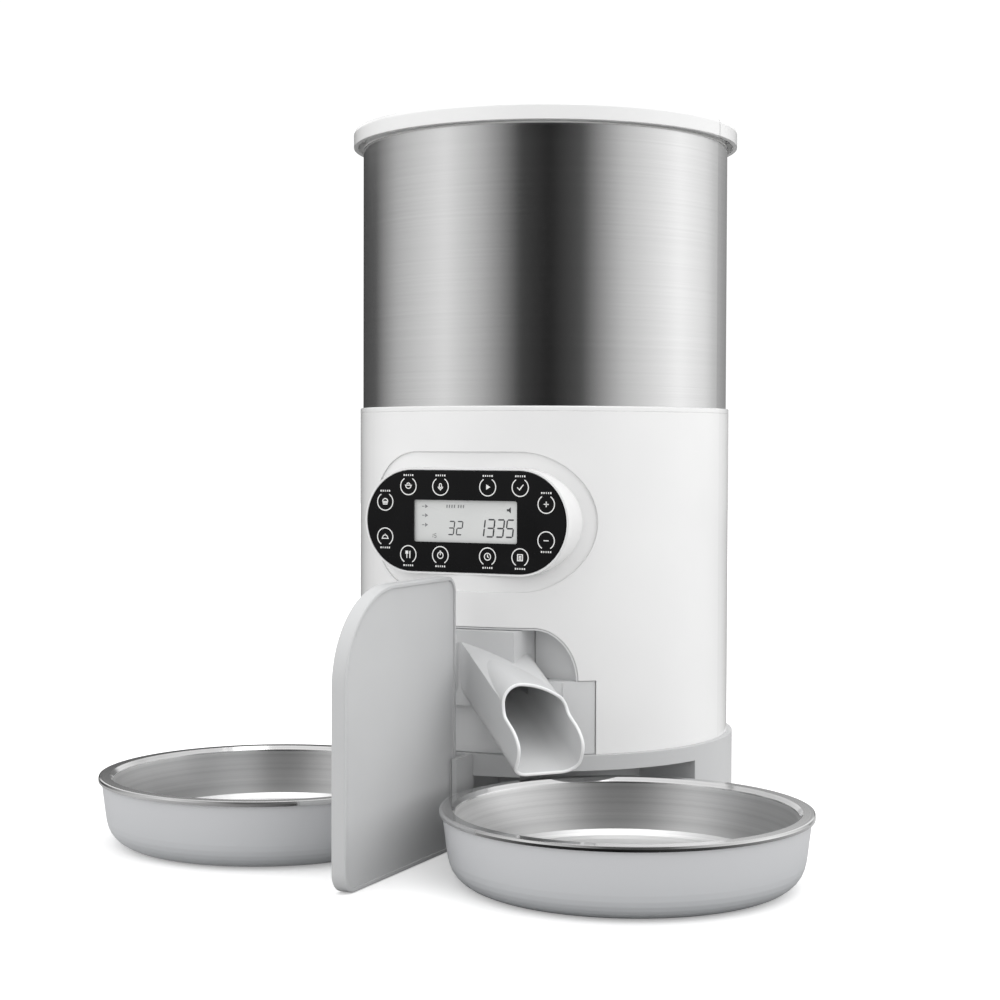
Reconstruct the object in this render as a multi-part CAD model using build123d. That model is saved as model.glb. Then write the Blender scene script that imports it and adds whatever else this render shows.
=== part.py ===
from build123d import *
import math
import os

# Automatic pet feeder with a steel hopper, two chutes and two loose bowls.
# Millimetres, +Z up, the front faces -Y. Every piece is drawn around the
# body's upright axis and moved at the end, so that the origin lies on the
# floor under the middle of the whole object.

# ---- driving dimensions ----
housing_radius = 96.4
steel_radius = 95.0
lid_radius = 100.0
base_radius = 99.3
wall = 2.5

foot_height = 1.5
base_top = 43.7
housing_top = 208.5
steel_bottom = 211.2
steel_top = 345.4
lid_bottom = 346.4
lid_top = 355.4
lid_seam_angle = 84.0         # degrees from the front, to the right

arch_start = 2.2            # degrees from the front
arch_end = 72.8
arch_height = 36.4
pocket_radius = 64.5
inner_radius = 62.0

bowl_rim_radius = 82.7
bowl_height = 32.5
bowl_direction = 35.9       # degrees from the front, left and right
right_bowl_distance = 171.8
left_bowl_distance = 154.9

panel_centre_z = 155.2
panel_width = 106.4
panel_height = 49.2
panel_face = 96.0           # distance of the black face in front of the axis
oval_width = 121.4          # outer edge of the slope around the panel
oval_height = 67.3
window_width = 55.6
window_height = 20.4

niche_half_width = 53.0
niche_corner = 19.0
niche_ledge_z = 79.0
niche_rise = 25.4
niche_back = 75.8
apron_angle = 38.6

chute_direction = 50.0      # degrees from the front
chute_slope = 0.5           # drop for each millimetre outwards
chute_width = 34.0
chute_root = (0.2, -100.4)
chute_top_z = 98.3
chute_side_height = 29.0
chute_wall = 1.5
chute_roof_end = 46.6         # distance along the floor plan where the roof stops
arch_slope = 0.28             # drop of the arched roof for each millimetre outwards
left_chute_shorter = 9.0
hood_half_width = 28.5
hood_front = 100.8

divider_front = 218.5
divider_rear = 111.5
divider_height = 130.2
divider_thickness = 7.0
divider_sweep_back = 46.0     # large curve of the front top corner
divider_sweep_down = 42.0
divider_tongue = 100.6
guide_front = 117.0

rotor_floor_z = 109.0
rotor_chamber_radius = 62.0
gear_module = 1.1
gear_teeth = 48
pinion_teeth = 16
gear_bottom = 92.0
gear_top = 97.5

cell_radius = 16.6
cell_length = 61.5
cell_count = 3
battery_front = -25.0
battery_rear = 49.0
battery_half_width = 54.0
door_half_width = 53.0
door_front = -24.0
door_rear = 48.0

inlet_z = 19.0
inlet_bore = 2.8
inlet_depth = 10.0

housing_screw_angles = (95, 150, 210, 265)
housing_screw_circle = 88.5
front_screw = (0.0, -57.5)
speaker_z = 90.0

# ---- where the body's axis stands ----
right_bowl_x = right_bowl_distance * math.sin(math.radians(bowl_direction))
right_bowl_y = -right_bowl_distance * math.cos(math.radians(bowl_direction))
left_bowl_x = -left_bowl_distance * math.sin(math.radians(bowl_direction))
left_bowl_y = -left_bowl_distance * math.cos(math.radians(bowl_direction))
x_high = right_bowl_x + bowl_rim_radius
x_low = left_bowl_x - bowl_rim_radius
y_low = min(right_bowl_y - bowl_rim_radius, -divider_front)
y_high = lid_radius
body_x = -(x_high + x_low) / 2
body_y = -(y_high + y_low) / 2


def tube(outer, inner, low, high):
    """An upright tube around the axis."""
    height = high - low
    solid = Pos(0, 0, low + height / 2) * Cylinder(outer, height)
    bore = Pos(0, 0, low + height / 2) * Cylinder(inner, height + 2)
    return solid - bore


def disc(radius, low, high, x=0.0, y=0.0):
    """An upright disc or rod."""
    return Pos(x, y, (low + high) / 2) * Cylinder(radius, high - low)


def block(x0, x1, y0, y1, z0, z1):
    """A box between two corners."""
    middle = Pos((x0 + x1) / 2, (y0 + y1) / 2, (z0 + z1) / 2)
    return middle * Box(x1 - x0, y1 - y0, z1 - z0)


def group(pieces):
    """Separate solids kept together in one node."""
    solids = []
    for piece in pieces:
        solids += piece.solids()
    return Compound(solids)


def at_angle(radius, angle):
    """The place at an angle from the front, positive to the right."""
    turn = math.radians(angle)
    return (radius * math.sin(turn), -radius * math.cos(turn))


def sector_face(outer, inner, start, end):
    """Part of a ring between two angles, drawn flat."""
    middle = (start + end) / 2
    edges = [
        ThreePointArc(at_angle(outer, start), at_angle(outer, middle), at_angle(outer, end)),
        Line(at_angle(outer, end), at_angle(inner, end)),
        ThreePointArc(at_angle(inner, end), at_angle(inner, middle), at_angle(inner, start)),
        Line(at_angle(inner, start), at_angle(outer, start)),
    ]
    return make_face(edges)


def sector(outer, inner, start, end, low, high):
    """Part of a tube between two angles."""
    return Pos(0, 0, low) * extrude(sector_face(outer, inner, start, end), high - low)


def slab(face, low, high):
    """A flat outline raised between two heights."""
    return Pos(0, 0, low) * extrude(face, high - low)


def front_prism(face, near, far):
    """A face drawn in X and Z, carried from y = -near to y = -far."""
    solid = extrude(Plane.XZ * face, far - near)
    return Pos(0, -near, 0) * solid


def slot_face(width, height, z):
    return Pos(0, z) * SlotOverall(width, height)


def turned(points):
    """A solid of revolution from (radius, height) corners."""
    face = make_face(Polyline(*points, close=True))
    return revolve(Plane.XZ * face, Axis.Z)


# ---- base ----

def make_base():
    low = foot_height
    end = arch_end + 2.2
    outside = base_radius
    inside = base_radius - 3.0
    base = tube(outside, inside, low, base_top)
    for side in (-1, 1):
        # the arch stands lower next to the middle
        first, last = sorted((side * arch_start, side * 17.0))
        base -= sector(outside + 2, inside - 2, first, last, low - 1, arch_height - 3.2)
        first, last = sorted((side * 17.0, side * arch_end))
        base -= sector(outside + 2, inside - 2, first, last, low - 1, arch_height)
    base += tube(inside + 1, 92.5, base_top - 3, base_top)
    base += sector(inside + 1.5, inner_radius, -end, end, arch_height, arch_height + 3)
    base += sector(pocket_radius, inner_radius, -end, end, low, arch_height + 2)
    for side in (-1, 1):
        first, last = sorted((side * arch_end, side * end))
        base += sector(inside + 2, inner_radius + 1, first, last, low, arch_height + 1)
    base += block(-3.8, 3.8, -inside - 2, -inner_radius - 1, low, arch_height + 1)
    # guides that hold the divider's tongue
    for side in (-1, 1):
        x0, x1 = sorted((side * 3.8, side * 6.4))
        base += block(x0, x1, -guide_front, -base_radius + 1.5, low, base_top)
    for angle in housing_screw_angles:
        x, y = at_angle(housing_screw_circle, angle)
        base += disc(6.0, base_top - 3.0, base_top, x, y)
        base -= disc(1.7, base_top - 4.0, base_top + 1, x, y)
    for x, y in bottom_screw_places():
        base += disc(4.5, foot_height + 2.8, base_top - 2.0, x, y)
        angle = math.degrees(math.atan2(x, -y))
        base += sector(inside + 0.5, 87.0, angle - 1.0, angle + 1.0, foot_height + 2.8, base_top - 2.0)
        base -= disc(1.5, foot_height + 1.0, 20.0, x, y)
    base += block(-4.0, 4.0, -inner_radius - 1, -54.0, foot_height + 2.8, arch_height)
    base -= disc(1.5, foot_height + 1.0, 20.0, *front_screw)
    base -= block(-5.8, 5.8, 90.0, base_radius + 1, inlet_z - 5.8, inlet_z + 5.8)
    return base


def bottom_screw_places():
    return [at_angle(86.0, 112), at_angle(86.0, 162), at_angle(86.0, -162), at_angle(86.0, -112)]


def foot_places():
    return [(-32.0, -45.0), (32.0, -45.0), (-84.0, 16.0), (84.0, 16.0), (-48.0, 74.0), (48.0, 74.0)]


def make_bottom_plate():
    low = foot_height
    high = foot_height + 2.5
    plate = disc(inner_radius - 0.4, low, high)
    plate += sector(base_radius - 3.4, 40.0, 76.6, 283.4, low, high)
    gap = 0.5
    half = door_half_width + gap
    plate -= block(-half, half, door_front - gap, door_rear + gap, low - 1, high + 1)
    for x, y in bottom_screw_places() + [front_screw]:
        plate -= disc(1.8, low - 1, high + 1, x, y)
        plate -= disc(3.4, low - 1, low + 1.4, x, y)
    for x, y in foot_places():
        plate -= disc(6.2, low - 1, low + 0.8, x, y)
    for row in range(5):
        plate -= Pos(0, 60.0 + row * 5.0, 0) * block(-14, 14, 0, 1.6, low - 1, high + 1)
    return plate


def make_rubber_feet():
    feet = []
    for x, y in foot_places():
        pad = fillet(disc(6.2, 0.0, foot_height + 0.8, x, y).edges().group_by(Axis.Z)[0], 0.5)
        feet.append(pad)
    return group(feet)


def screw(x, y, low, head_high, tip, head_radius, shank_radius):
    """An upright screw with its head down and a cross recess."""
    body = disc(head_radius, low, head_high, x, y) + disc(shank_radius, head_high - 0.2, tip, x, y)
    body -= block(x - 0.3, x + 0.3, y - head_radius * 0.6, y + head_radius * 0.6, low - 1, low + 0.7)
    body -= block(x - head_radius * 0.6, x + head_radius * 0.6, y - 0.3, y + 0.3, low - 1, low + 0.7)
    return body


def make_base_screws():
    low = foot_height
    screws = []
    for x, y in bottom_screw_places() + [front_screw]:
        screws.append(screw(x, y, low + 0.2, low + 1.4, 18.0, 3.2, 1.45))
    return group(screws)


def make_battery_box():
    low = foot_height + 2.5
    outside = block(-battery_half_width, battery_half_width, battery_front, battery_rear, low, 40.5)
    inside = block(-52.5, 52.5, battery_front + 1.5, battery_rear - 1.5, low - 1, 38.9)
    box = outside - inside
    pitch = 2 * cell_radius + 1.2
    for i in range(cell_count - 1):
        x = (i - (cell_count - 2) / 2) * pitch
        box += block(x - 0.5, x + 0.5, battery_front + 1, battery_front + 9, low + 4, 39.5)
        box += block(x - 0.5, x + 0.5, battery_rear - 9, battery_rear - 1, low + 4, 39.5)
    for side in (-1, 1):
        x0, x1 = sorted((side * 53.0, side * 60.0))
        box += block(x0, x1, 5.0, 17.0, low, low + 2.5)
    return box


def cell_middles():
    pitch = 2 * cell_radius + 1.2
    return [(i - (cell_count - 1) / 2) * pitch for i in range(cell_count)]


def make_battery_cells():
    """D cells lying front to back, every other one turned round."""
    cells = []
    middle_y = (battery_front + battery_rear) / 2
    z = foot_height + 3.4 + cell_radius
    for i, x in enumerate(cell_middles()):
        way = 1 if i % 2 == 0 else -1
        can = Pos(x, middle_y - way * 0.8, z) * Rot(90, 0, 0) * Cylinder(cell_radius, cell_length - 2)
        tip_y = middle_y - way * 0.8 + way * (cell_length - 2) / 2
        tip = Pos(x, tip_y + way * 0.9, z) * Rot(90, 0, 0) * Cylinder(4.6, 2.0)
        cells.append(can + tip)
    return group(cells)


def make_battery_contacts():
    """Nickel plates and coil springs at the ends of the cells."""
    contacts = []
    z = foot_height + 3.4 + cell_radius
    for i, x in enumerate(cell_middles()):
        way = 1 if i % 2 == 0 else -1
        for end in (-1, 1):
            face = battery_rear - 1.5 if end > 0 else battery_front + 1.5
            plate_near = face - end * 0.5
            y0, y1 = sorted((face, plate_near))
            plate = block(x - 8, x + 8, y0, y1, z - 9, z + 9)
            reach = 1.0 if end == way else 4.2
            y2, y3 = sorted((plate_near, plate_near - end * reach))
            radius = 3.0 if end == way else 6.0
            stub = Pos(x, (y2 + y3) / 2, z) * Rot(90, 0, 0) * Cylinder(radius, y3 - y2)
            if end != way:
                stub -= Pos(x, (y2 + y3) / 2, z) * Rot(90, 0, 0) * Cylinder(radius - 1.2, y3 - y2 + 2)
            contacts.append(plate + stub)
    return group(contacts)


def make_battery_door():
    low = foot_height
    door = block(-door_half_width, door_half_width, door_front, door_rear, low, low + 2.2)
    for i in range(5):
        door -= block(-10.0, 10.0, 36.0 + i * 2.0, 37.0 + i * 2.0, low - 1, low + 0.5)
    return door


def make_dc_inlet():
    """Power socket in the back of the base."""
    inlet = block(-5.5, 5.5, base_radius - 15.3, base_radius - 0.5, inlet_z - 5.5, inlet_z + 5.5)
    depth_middle = base_radius - 0.5 - inlet_depth / 2
    inlet -= Pos(0, depth_middle, inlet_z) * Rot(90, 0, 0) * Cylinder(inlet_bore, inlet_depth)
    return inlet


def make_main_board():
    """Power and motor board, upright behind the battery box."""
    board = block(-36.0, 36.0, 54.0, 55.6, 7.0, 38.0)
    board += block(-28.0, -16.0, 55.6, 63.0, 12.0, 26.0)
    board += block(-8.0, 8.0, 55.6, 58.5, 14.0, 28.0)
    board += block(16.0, 30.0, 55.6, 61.0, 22.0, 30.0)
    for x in (18.0, 28.0):
        board += Pos(x, 59.0, 13.0) * Rot(90, 0, 0) * Cylinder(3.2, 7.2)
    return board


# ---- housing ----

def niche_face(margin):
    """Flat-topped opening above the ledge with large rounded corners, drawn in X and Z."""
    straight = niche_half_width - niche_corner
    height = niche_rise + margin
    whole = Rectangle(2 * straight, 2 * height)
    for x in (-straight, straight):
        whole += Pos(x, 0) * Ellipse(niche_corner + margin, height)
    half = whole & (Pos(0, niche_rise) * Rectangle(2 * niche_half_width + 20, 2 * niche_rise))
    return Pos(0, niche_ledge_z) * half


def make_main_housing():
    housing = tube(housing_radius, housing_radius - wall, base_top, housing_top)
    # opening for the chutes
    housing -= front_prism(niche_face(0.2), 60.0, 110.0)
    gap = 0.2
    housing -= sector(110.0, 80.0, -apron_angle - gap, apron_angle + gap, base_top - 1, niche_ledge_z + gap)
    # raised oval that carries the panel
    boss_face = slot_face(panel_width + 2.4, panel_height + 2.4, panel_centre_z)
    boss = front_prism(boss_face, 60.0, panel_face - 0.3)
    hollow_face = slot_face(panel_width - 3.0, panel_height - 3.0, panel_centre_z)
    oval_face = slot_face(oval_width, oval_height, panel_centre_z)
    seat = front_prism(oval_face, 60.0, 110.0)
    housing -= seat - disc(housing_radius - 0.8, 100.0, 205.0)
    housing += boss - disc(housing_radius - wall, 90.0, 206.0)
    housing -= front_prism(hollow_face, 60.0, panel_face - 3.6)
    lens_face = slot_face(panel_width + 0.4, panel_height + 0.4, panel_centre_z)
    housing -= front_prism(lens_face, panel_face - 1.6, 110.0)
    window = Pos(0, panel_centre_z) * Rectangle(window_width + 2.0, window_height + 2.2)
    housing -= front_prism(window, 90.0, 110.0)
    for x, z in key_places():
        housing -= Pos(x, -93.0, z) * Rot(90, 0, 0) * Cylinder(3.0, 6.0)
    for angle in housing_screw_angles:
        x, y = at_angle(housing_screw_circle, angle)
        rib = sector(housing_radius - 1, 85.0, angle - 1.0, angle + 1.0, base_top, 64.0)
        housing += rib + disc(4.6, base_top, 64.0, x, y)
        housing -= disc(1.5, base_top - 1, 60.0, x, y)
    # sound holes in the back
    for ring in range(4):
        count = 1 if ring == 0 else ring * 6
        for i in range(count):
            turn = 2 * math.pi * i / count
            x = 5.0 * ring * math.cos(turn)
            z = speaker_z + 5.0 * ring * math.sin(turn)
            housing -= Pos(x, housing_radius - 2, z) * Rot(90, 0, 0) * Cylinder(1.1, 14.0)
    cup = Pos(0, 92.6, speaker_z) * Rot(90, 0, 0) * Cylinder(21.5, 6.0)
    cup -= Pos(0, 92.6, speaker_z) * Rot(90, 0, 0) * Cylinder(19.8, 8.0)
    housing += cup & disc(housing_radius - 1, 60.0, 120.0)
    return housing


def make_housing_screws():
    screws = []
    for angle in housing_screw_angles:
        x, y = at_angle(housing_screw_circle, angle)
        screws.append(screw(x, y, base_top - 5.0, base_top - 3.0, 57.0, 3.0, 1.45))
    return group(screws)


def make_shell_ring():
    """Ring that seats the steel tube on the housing."""
    ring = tube(housing_radius, 92.8, housing_top, steel_bottom - 0.2)
    ring = fillet(ring.edges().group_by(Axis.Z)[-1].sort_by(SortBy.RADIUS)[-1], 0.6)
    ring += tube(steel_radius - 0.9, 92.8, steel_bottom - 1.0, steel_bottom + 8.0)
    return ring


def make_hopper_shell():
    return tube(steel_radius, steel_radius - 0.8, steel_bottom - 0.2, steel_top)


def make_food_hopper():
    """Inner hopper: straight liner, funnel, rotor chamber and floor."""
    points = [
        (92.2, steel_top - 2.0), (92.2, 207.0), (rotor_chamber_radius + 2.0, 169.0),
        (rotor_chamber_radius + 2.0, rotor_floor_z - 3.0), (0.0, rotor_floor_z - 3.0),
        (0.0, rotor_floor_z), (rotor_chamber_radius, rotor_floor_z),
        (rotor_chamber_radius, 168.0), (90.2, 206.0), (90.2, steel_top + 0.9),
        (94.8, steel_top + 0.9), (94.8, steel_top), (92.2, steel_top),
    ]
    hopper = turned(points)
    hopper -= sector(60.0, 36.0, -28, 28, rotor_floor_z - 5, rotor_floor_z + 1)
    hopper -= disc(6.0, rotor_floor_z - 5, rotor_floor_z + 1)
    for x, y in motor_post_places():
        hopper -= disc(1.3, rotor_floor_z - 5, rotor_floor_z - 0.6, x, y)
    return hopper


# ---- lid ----

def make_lid():
    points = [
        (0.0, lid_top), (lid_radius - 3.0, lid_top), (lid_radius - 0.8, lid_top - 0.7),
        (lid_radius, lid_top - 2.4), (lid_radius, lid_bottom), (lid_radius - 2.2, lid_bottom),
        (lid_radius - 2.2, lid_top - 2.4), (94.0, lid_top - 2.4), (94.0, lid_bottom),
        (91.6, lid_bottom), (91.6, lid_top - 2.4), (88.2, lid_top - 2.4), (88.2, 341.0),
        (87.0, 341.0), (87.0, 338.4), (88.2, 338.4), (88.2, 335.0), (85.8, 335.0),
        (85.8, lid_top - 2.4), (0.0, lid_top - 2.4),
    ]
    lid = turned(points)
    lid -= tube(84.0, 83.0, lid_top - 0.4, lid_top + 1)
    # fine seam in the rim
    seam = block(-0.3, 0.3, -lid_radius - 1, -lid_radius + 0.8, lid_bottom - 1, lid_top + 1)
    lid -= Rot(0, 0, lid_seam_angle) * seam
    return lid


def make_lid_seal():
    """Silicone ring in the groove of the lid's skirt."""
    points = [(87.0, 338.5), (88.6, 338.5), (89.8, 339.4), (89.8, 340.0), (88.6, 340.9), (87.0, 340.9)]
    return turned(points)


# ---- dispensing drive ----

def motor_post_places():
    return [at_angle(48.0, 90), at_angle(50.0, 180), at_angle(48.0, 270)]


def make_rotor():
    """Paddle wheel with six pockets."""
    low = rotor_floor_z + 1.2
    rotor = disc(11.0, low, 138.0)
    for i in range(6):
        blade = block(0.0, rotor_chamber_radius - 1.4, -1.2, 1.2, low, 134.0)
        rotor += Rot(0, 0, i * 60 + 30) * blade
    rotor += tube(13.5, 5.0, 134.0, 138.0)
    rotor -= disc(3.0, low - 1, 136.0)
    return rotor


def make_stirrer():
    """Soft stirrer above the rotor."""
    stirrer = Pos(0, 0, 146.0) * Cone(12.0, 5.0, 16.0)
    for i in range(3):
        arm = block(4.0, 44.0, -2.0, 2.0, 140.0, 144.0)
        stirrer += Rot(0, 0, i * 120) * fillet(arm.edges().filter_by(Axis.Z), 1.2)
    return stirrer


def gear_outline(teeth, thinning, turn):
    """Involute tooth outline; thinning narrows each tooth."""
    pitch_radius = gear_module * teeth / 2
    base_circle = pitch_radius * math.cos(math.radians(20))
    tip = pitch_radius + 0.9 * gear_module
    root = pitch_radius - 1.2 * gear_module
    start = max(base_circle, root)

    def roll(radius):
        ratio = max(1.0, radius / base_circle)
        return math.sqrt(ratio ** 2 - 1) - math.acos(1 / ratio)

    half_pitch = math.pi / (2 * teeth) - thinning / pitch_radius
    flank = []
    for i in range(5):
        radius = start + (tip - start) * i / 4
        flank.append((radius, half_pitch + roll(pitch_radius) - roll(radius)))
    if start > root + 0.01:
        flank.insert(0, (root, flank[0][1]))
    corners = []
    for tooth in range(teeth):
        middle = 2 * math.pi * tooth / teeth + turn
        left = [(radius, middle - half) for radius, half in flank]
        right = [(radius, middle + half) for radius, half in reversed(flank)]
        for radius, angle in left + right:
            corners.append((radius * math.cos(angle), radius * math.sin(angle)))
    return corners


def gear_body(teeth, turn, low, high):
    face = make_face(Polyline(*gear_outline(teeth, 0.1, turn), close=True))
    return Pos(0, 0, low) * extrude(face, high - low)


def motor_y():
    return gear_module * (gear_teeth + pinion_teeth) / 2


def make_drive_gear():
    # one tooth points at the pinion
    gear = gear_body(gear_teeth, math.pi / 2, gear_bottom, gear_top)
    gear += disc(9.0, gear_bottom, gear_top + 3.0)
    gear -= disc(3.0, gear_bottom - 1, gear_top + 4)
    for i in range(6):
        x = 17.0 * math.cos(math.radians(60 * i))
        y = 17.0 * math.sin(math.radians(60 * i))
        gear -= disc(4.5, gear_bottom - 1, gear_top + 1, x, y)
    return gear


def make_motor_pinion():
    # one gap points back at the gear
    turn = -math.pi / 2 + math.pi / pinion_teeth
    pinion = gear_body(pinion_teeth, turn, gear_bottom - 0.5, gear_top + 0.5)
    pinion -= disc(2.0, gear_bottom - 2, gear_top + 2)
    return Pos(0, motor_y(), 0) * pinion


def make_motor_shaft():
    return disc(2.0, 82.0, gear_top + 1.0, 0.0, motor_y())


def make_drive_shaft():
    return disc(3.0, 86.5, 136.0)


def make_shaft_bush():
    low = rotor_floor_z - 5.0
    bush = tube(6.0, 3.05, low + 0.5, rotor_floor_z + 0.6)
    bush += tube(8.0, 3.05, low + 0.5, rotor_floor_z - 3.0)
    return bush


def make_gear_motor():
    """Motor can under a flat gearbox."""
    y = motor_y()
    box = block(-14.0, 14.0, y - 12.0, y + 24.0, 78.0, 88.0)
    box = fillet(box.edges().filter_by(Axis.Z), 5.0)
    can = disc(12.0, 48.0, 78.0, 0.0, y + 10.0)
    can += disc(4.0, 45.5, 48.0, 0.0, y + 10.0)
    motor = box + can
    motor -= disc(2.05, 81.0, 90.0, 0.0, y)
    return motor


def make_motor_plate():
    """Plate that hangs the motor and gears under the hopper."""
    y = motor_y()
    plate = block(-54.0, 54.0, -26.0, 26.0, 88.0, 91.0)
    plate += block(-20.0, 20.0, 20.0, 66.0, 88.0, 91.0)
    plate = fillet(plate.edges().filter_by(Axis.Z), 3.0)
    plate -= disc(3.05, 86.0, 93.0)
    plate -= disc(5.0, 86.0, 93.0, 0.0, y)
    for px, py in motor_post_places():
        plate += disc(4.5, 90.0, rotor_floor_z - 3.0, px, py)
        plate -= disc(1.6, 86.0, rotor_floor_z, px, py)
    return plate


def make_motor_screws():
    screws = []
    for x, y in motor_post_places()[0::2]:
        screws.append(screw(x, y, 86.2, 88.0, rotor_floor_z - 1.0, 2.9, 1.25))
    return group(screws)


# ---- chutes ----

def chute_section(margin):
    """Cross-section of the chute's lower run, x outwards to the right, y up."""
    right = chute_width + margin
    low = -chute_side_height - margin
    left = -margin
    foot = 8.0 + margin
    corner = (left, -0.4 + 0.6 * margin)
    shoulder = (28.6 + 0.6 * margin, -0.2 + 0.8 * margin)
    edge = Line((left, low + foot), corner)
    roof = ThreePointArc(corner, (15.0, 1.4 + margin), shoulder)
    top_right = RadiusArc(shoulder, (right, -6.0), 9.0 + margin)
    side = Line(top_right @ 1, (right, low + foot))
    foot_right = RadiusArc(side @ 1, (right - foot, low), foot)
    floor = Line(foot_right @ 1, (left + foot, low))
    foot_left = RadiusArc(floor @ 1, edge @ 0, foot)
    return make_face([edge, roof, top_right, side, foot_right, floor, foot_left])


def arch_section(margin):
    """Upper part of the cross-section at the mouth, highest next to the middle."""
    right = chute_width + margin
    left = -margin
    peak = (9.5, 7.5 + margin)
    shoulder = (30.6 + 0.6 * margin, 0.4 + 0.8 * margin)
    edge = Line((left, -14.0), (left, -1.5))
    top_left = RadiusArc(edge @ 1, peak, 9.4 + margin)
    roof = ThreePointArc(peak, (21.6 + 0.2 * margin, 5.0 + margin), shoulder)
    top_right = RadiusArc(shoulder, (right, -6.0), 9.0 + margin)
    side = Line(top_right @ 1, (right, -14.0))
    floor = Line(side @ 1, edge @ 0)
    return make_face([edge, top_left, roof, top_right, side, floor])


def chute_run(section, slope, anchor, start, end):
    """A section carried down a slope, for the right chute; it is placed at the anchor."""
    turn = chute_direction
    outwards = Vector(math.sin(math.radians(turn)), -math.cos(math.radians(turn)), 0)
    across = Vector(math.cos(math.radians(turn)), math.sin(math.radians(turn)), 0)
    origin = Vector(chute_root[0], chute_root[1], chute_top_z) + outwards * anchor
    origin -= Vector(0, 0, chute_slope * anchor)
    fall = outwards + Vector(0, 0, -slope)
    plane = Plane(origin=origin + fall * (start - anchor), x_dir=across, z_dir=outwards)
    length = (end - start) * math.sqrt(1 + slope ** 2)
    return extrude(plane * section, amount=length, dir=fall.normalized())


def chute_prism(margin, start, end):
    """Lower run with the shallower arch that rises out of it towards the mouth."""
    lower = chute_run(chute_section(margin), chute_slope, 0.0, start, end)
    arch = chute_run(arch_section(margin), arch_slope, chute_roof_end, 8.0, end)
    return lower + arch


def mouth_cutter(shorter):
    """What the open end leaves off: a short roof over a longer, round-nosed floor."""
    turn = chute_direction
    outwards = Vector(math.sin(math.radians(turn)), -math.cos(math.radians(turn)), 0)
    across = Vector(math.cos(math.radians(turn)), math.sin(math.radians(turn)), 0)
    origin = Vector(chute_root[0], chute_root[1], 0) - across * 30 - outwards * shorter
    plane = Plane(origin=origin, x_dir=outwards, z_dir=across * -1)
    roof = chute_roof_end
    lip = Spline((roof, 75.0), (roof + 2.2, 67.5), (58.5, 61.5), (63.6, 55.0), (61.9, 48.3), (57.0, 42.3),
                 (53.2, 37.5))
    edges = [
        Line((roof, 120.0), (roof, 75.0)), lip, Line((53.2, 37.5), (44.0, 20.0)),
        Line((44.0, 20.0), (110.0, 20.0)), Line((110.0, 20.0), (110.0, 120.0)),
        Line((110.0, 120.0), (roof, 120.0)),
    ]
    face = plane * make_face(edges)
    return extrude(face, amount=100.0, dir=across)


def mirrored(solid):
    return mirror(solid, Plane.YZ)


def hood_solid(margin):
    """Hood between the rotor's outlet and the chutes, rounded over the top like the niche."""
    half = hood_half_width + margin
    front = -hood_front - margin
    top = rotor_floor_z - 4.7 + margin
    rear = -30.5 + margin
    low = 67.0 - margin
    corners = [(rear, top), (rear, 94.5 - margin), (-86.0, low), (front, low), (front, top)]
    outline = make_face(Polyline(*corners, close=True))
    hood = Pos(-half, 0, 0) * extrude(Plane.YZ * outline, 2 * half)
    arch = niche_face(margin - 1.1) + Pos(0, niche_ledge_z - 20.0) * Rectangle(100.0, 40.2)
    collar = block(-half, half, -64.0 - margin, rear, 60.0, top)
    return hood & (front_prism(arch, 20.0, 120.0) + collar)


def make_food_splitter():
    """Hood and two chutes in one moulding, open at the top for the falling food."""
    outside = chute_prism(0.0, 0.0, 80.0) & block(0.0, 300.0, -300.0, 0.0, 0.0, 200.0)
    outside -= block(-1.0, 60.0, -hood_front, 0.0, 95.0, 120.0) - hood_solid(0.0)
    inside = chute_prism(-chute_wall, -16.0, 90.0) & block(1.0, 300.0, -300.0, 0.0, 0.0, 200.0)
    right_chute = outside - mouth_cutter(0.0)
    left_chute = mirrored(outside - mouth_cutter(left_chute_shorter))
    splitter = hood_solid(0.0) + right_chute + left_chute
    hollow = hood_solid(-chute_wall)
    wedge_wall = block(-1.0, 1.0, -hood_front, -62.0, 60.0, 90.0)
    splitter -= hollow - wedge_wall
    splitter -= inside
    splitter -= mirrored(inside)
    splitter -= block(-26.5, 26.5, -62.0, -32.5, 95.0, 110.0)
    return splitter


def make_chute_surround():
    """Recessed grey surround: oval niche above, apron below."""
    shell = front_prism(niche_face(0.0), niche_back - 1.8, 110.0)
    shell -= front_prism(niche_face(-0.9), niche_back, 112.0)
    shell = shell & disc(housing_radius - 0.2, 40.0, 120.0)
    shell += sector(housing_radius - 0.6, 84.0, -apron_angle, apron_angle, niche_ledge_z - 1.8, niche_ledge_z)
    shell += sector(housing_radius - 0.6, housing_radius - 2.4, -apron_angle, apron_angle,
                    base_top + 0.2, niche_ledge_z)
    for x in (-46.0, 46.0):
        shell += block(x - 1.0, x + 1.0, -84.0, -76.0, base_top + 0.2, niche_ledge_z - 1)
    shell -= hood_solid(0.3)
    opening = chute_prism(0.3, 0.0, 80.0)
    shell -= opening
    shell -= mirrored(opening)
    return shell


# ---- divider ----

def divider_outline(inset, rear):
    sweep_back = divider_sweep_back - inset
    sweep_down = divider_sweep_down - inset
    foot_radius = 9.0 - inset
    back_radius = 8.0 - inset
    y0 = -divider_front + inset
    y1 = -rear - inset
    z0 = inset
    z1 = divider_height - inset
    left = Line((y0, z0 + foot_radius), (y0, z1 - sweep_down))
    centre = (y0 + sweep_back, z1 - sweep_down)
    front_top = EllipticalCenterArc(centre, sweep_back, sweep_down, 90, arc_size=90)
    top = Line((y0 + sweep_back, z1), (y1 - back_radius, z1))
    back_top = RadiusArc(top @ 1, (y1, z1 - back_radius), back_radius)
    back = Line(back_top @ 1, (y1, z0))
    floor = Line(back @ 1, (y0 + foot_radius, z0))
    front_foot = RadiusArc(floor @ 1, left @ 0, foot_radius)
    return make_face([left, front_top, top, back_top, back, floor, front_foot])


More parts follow.
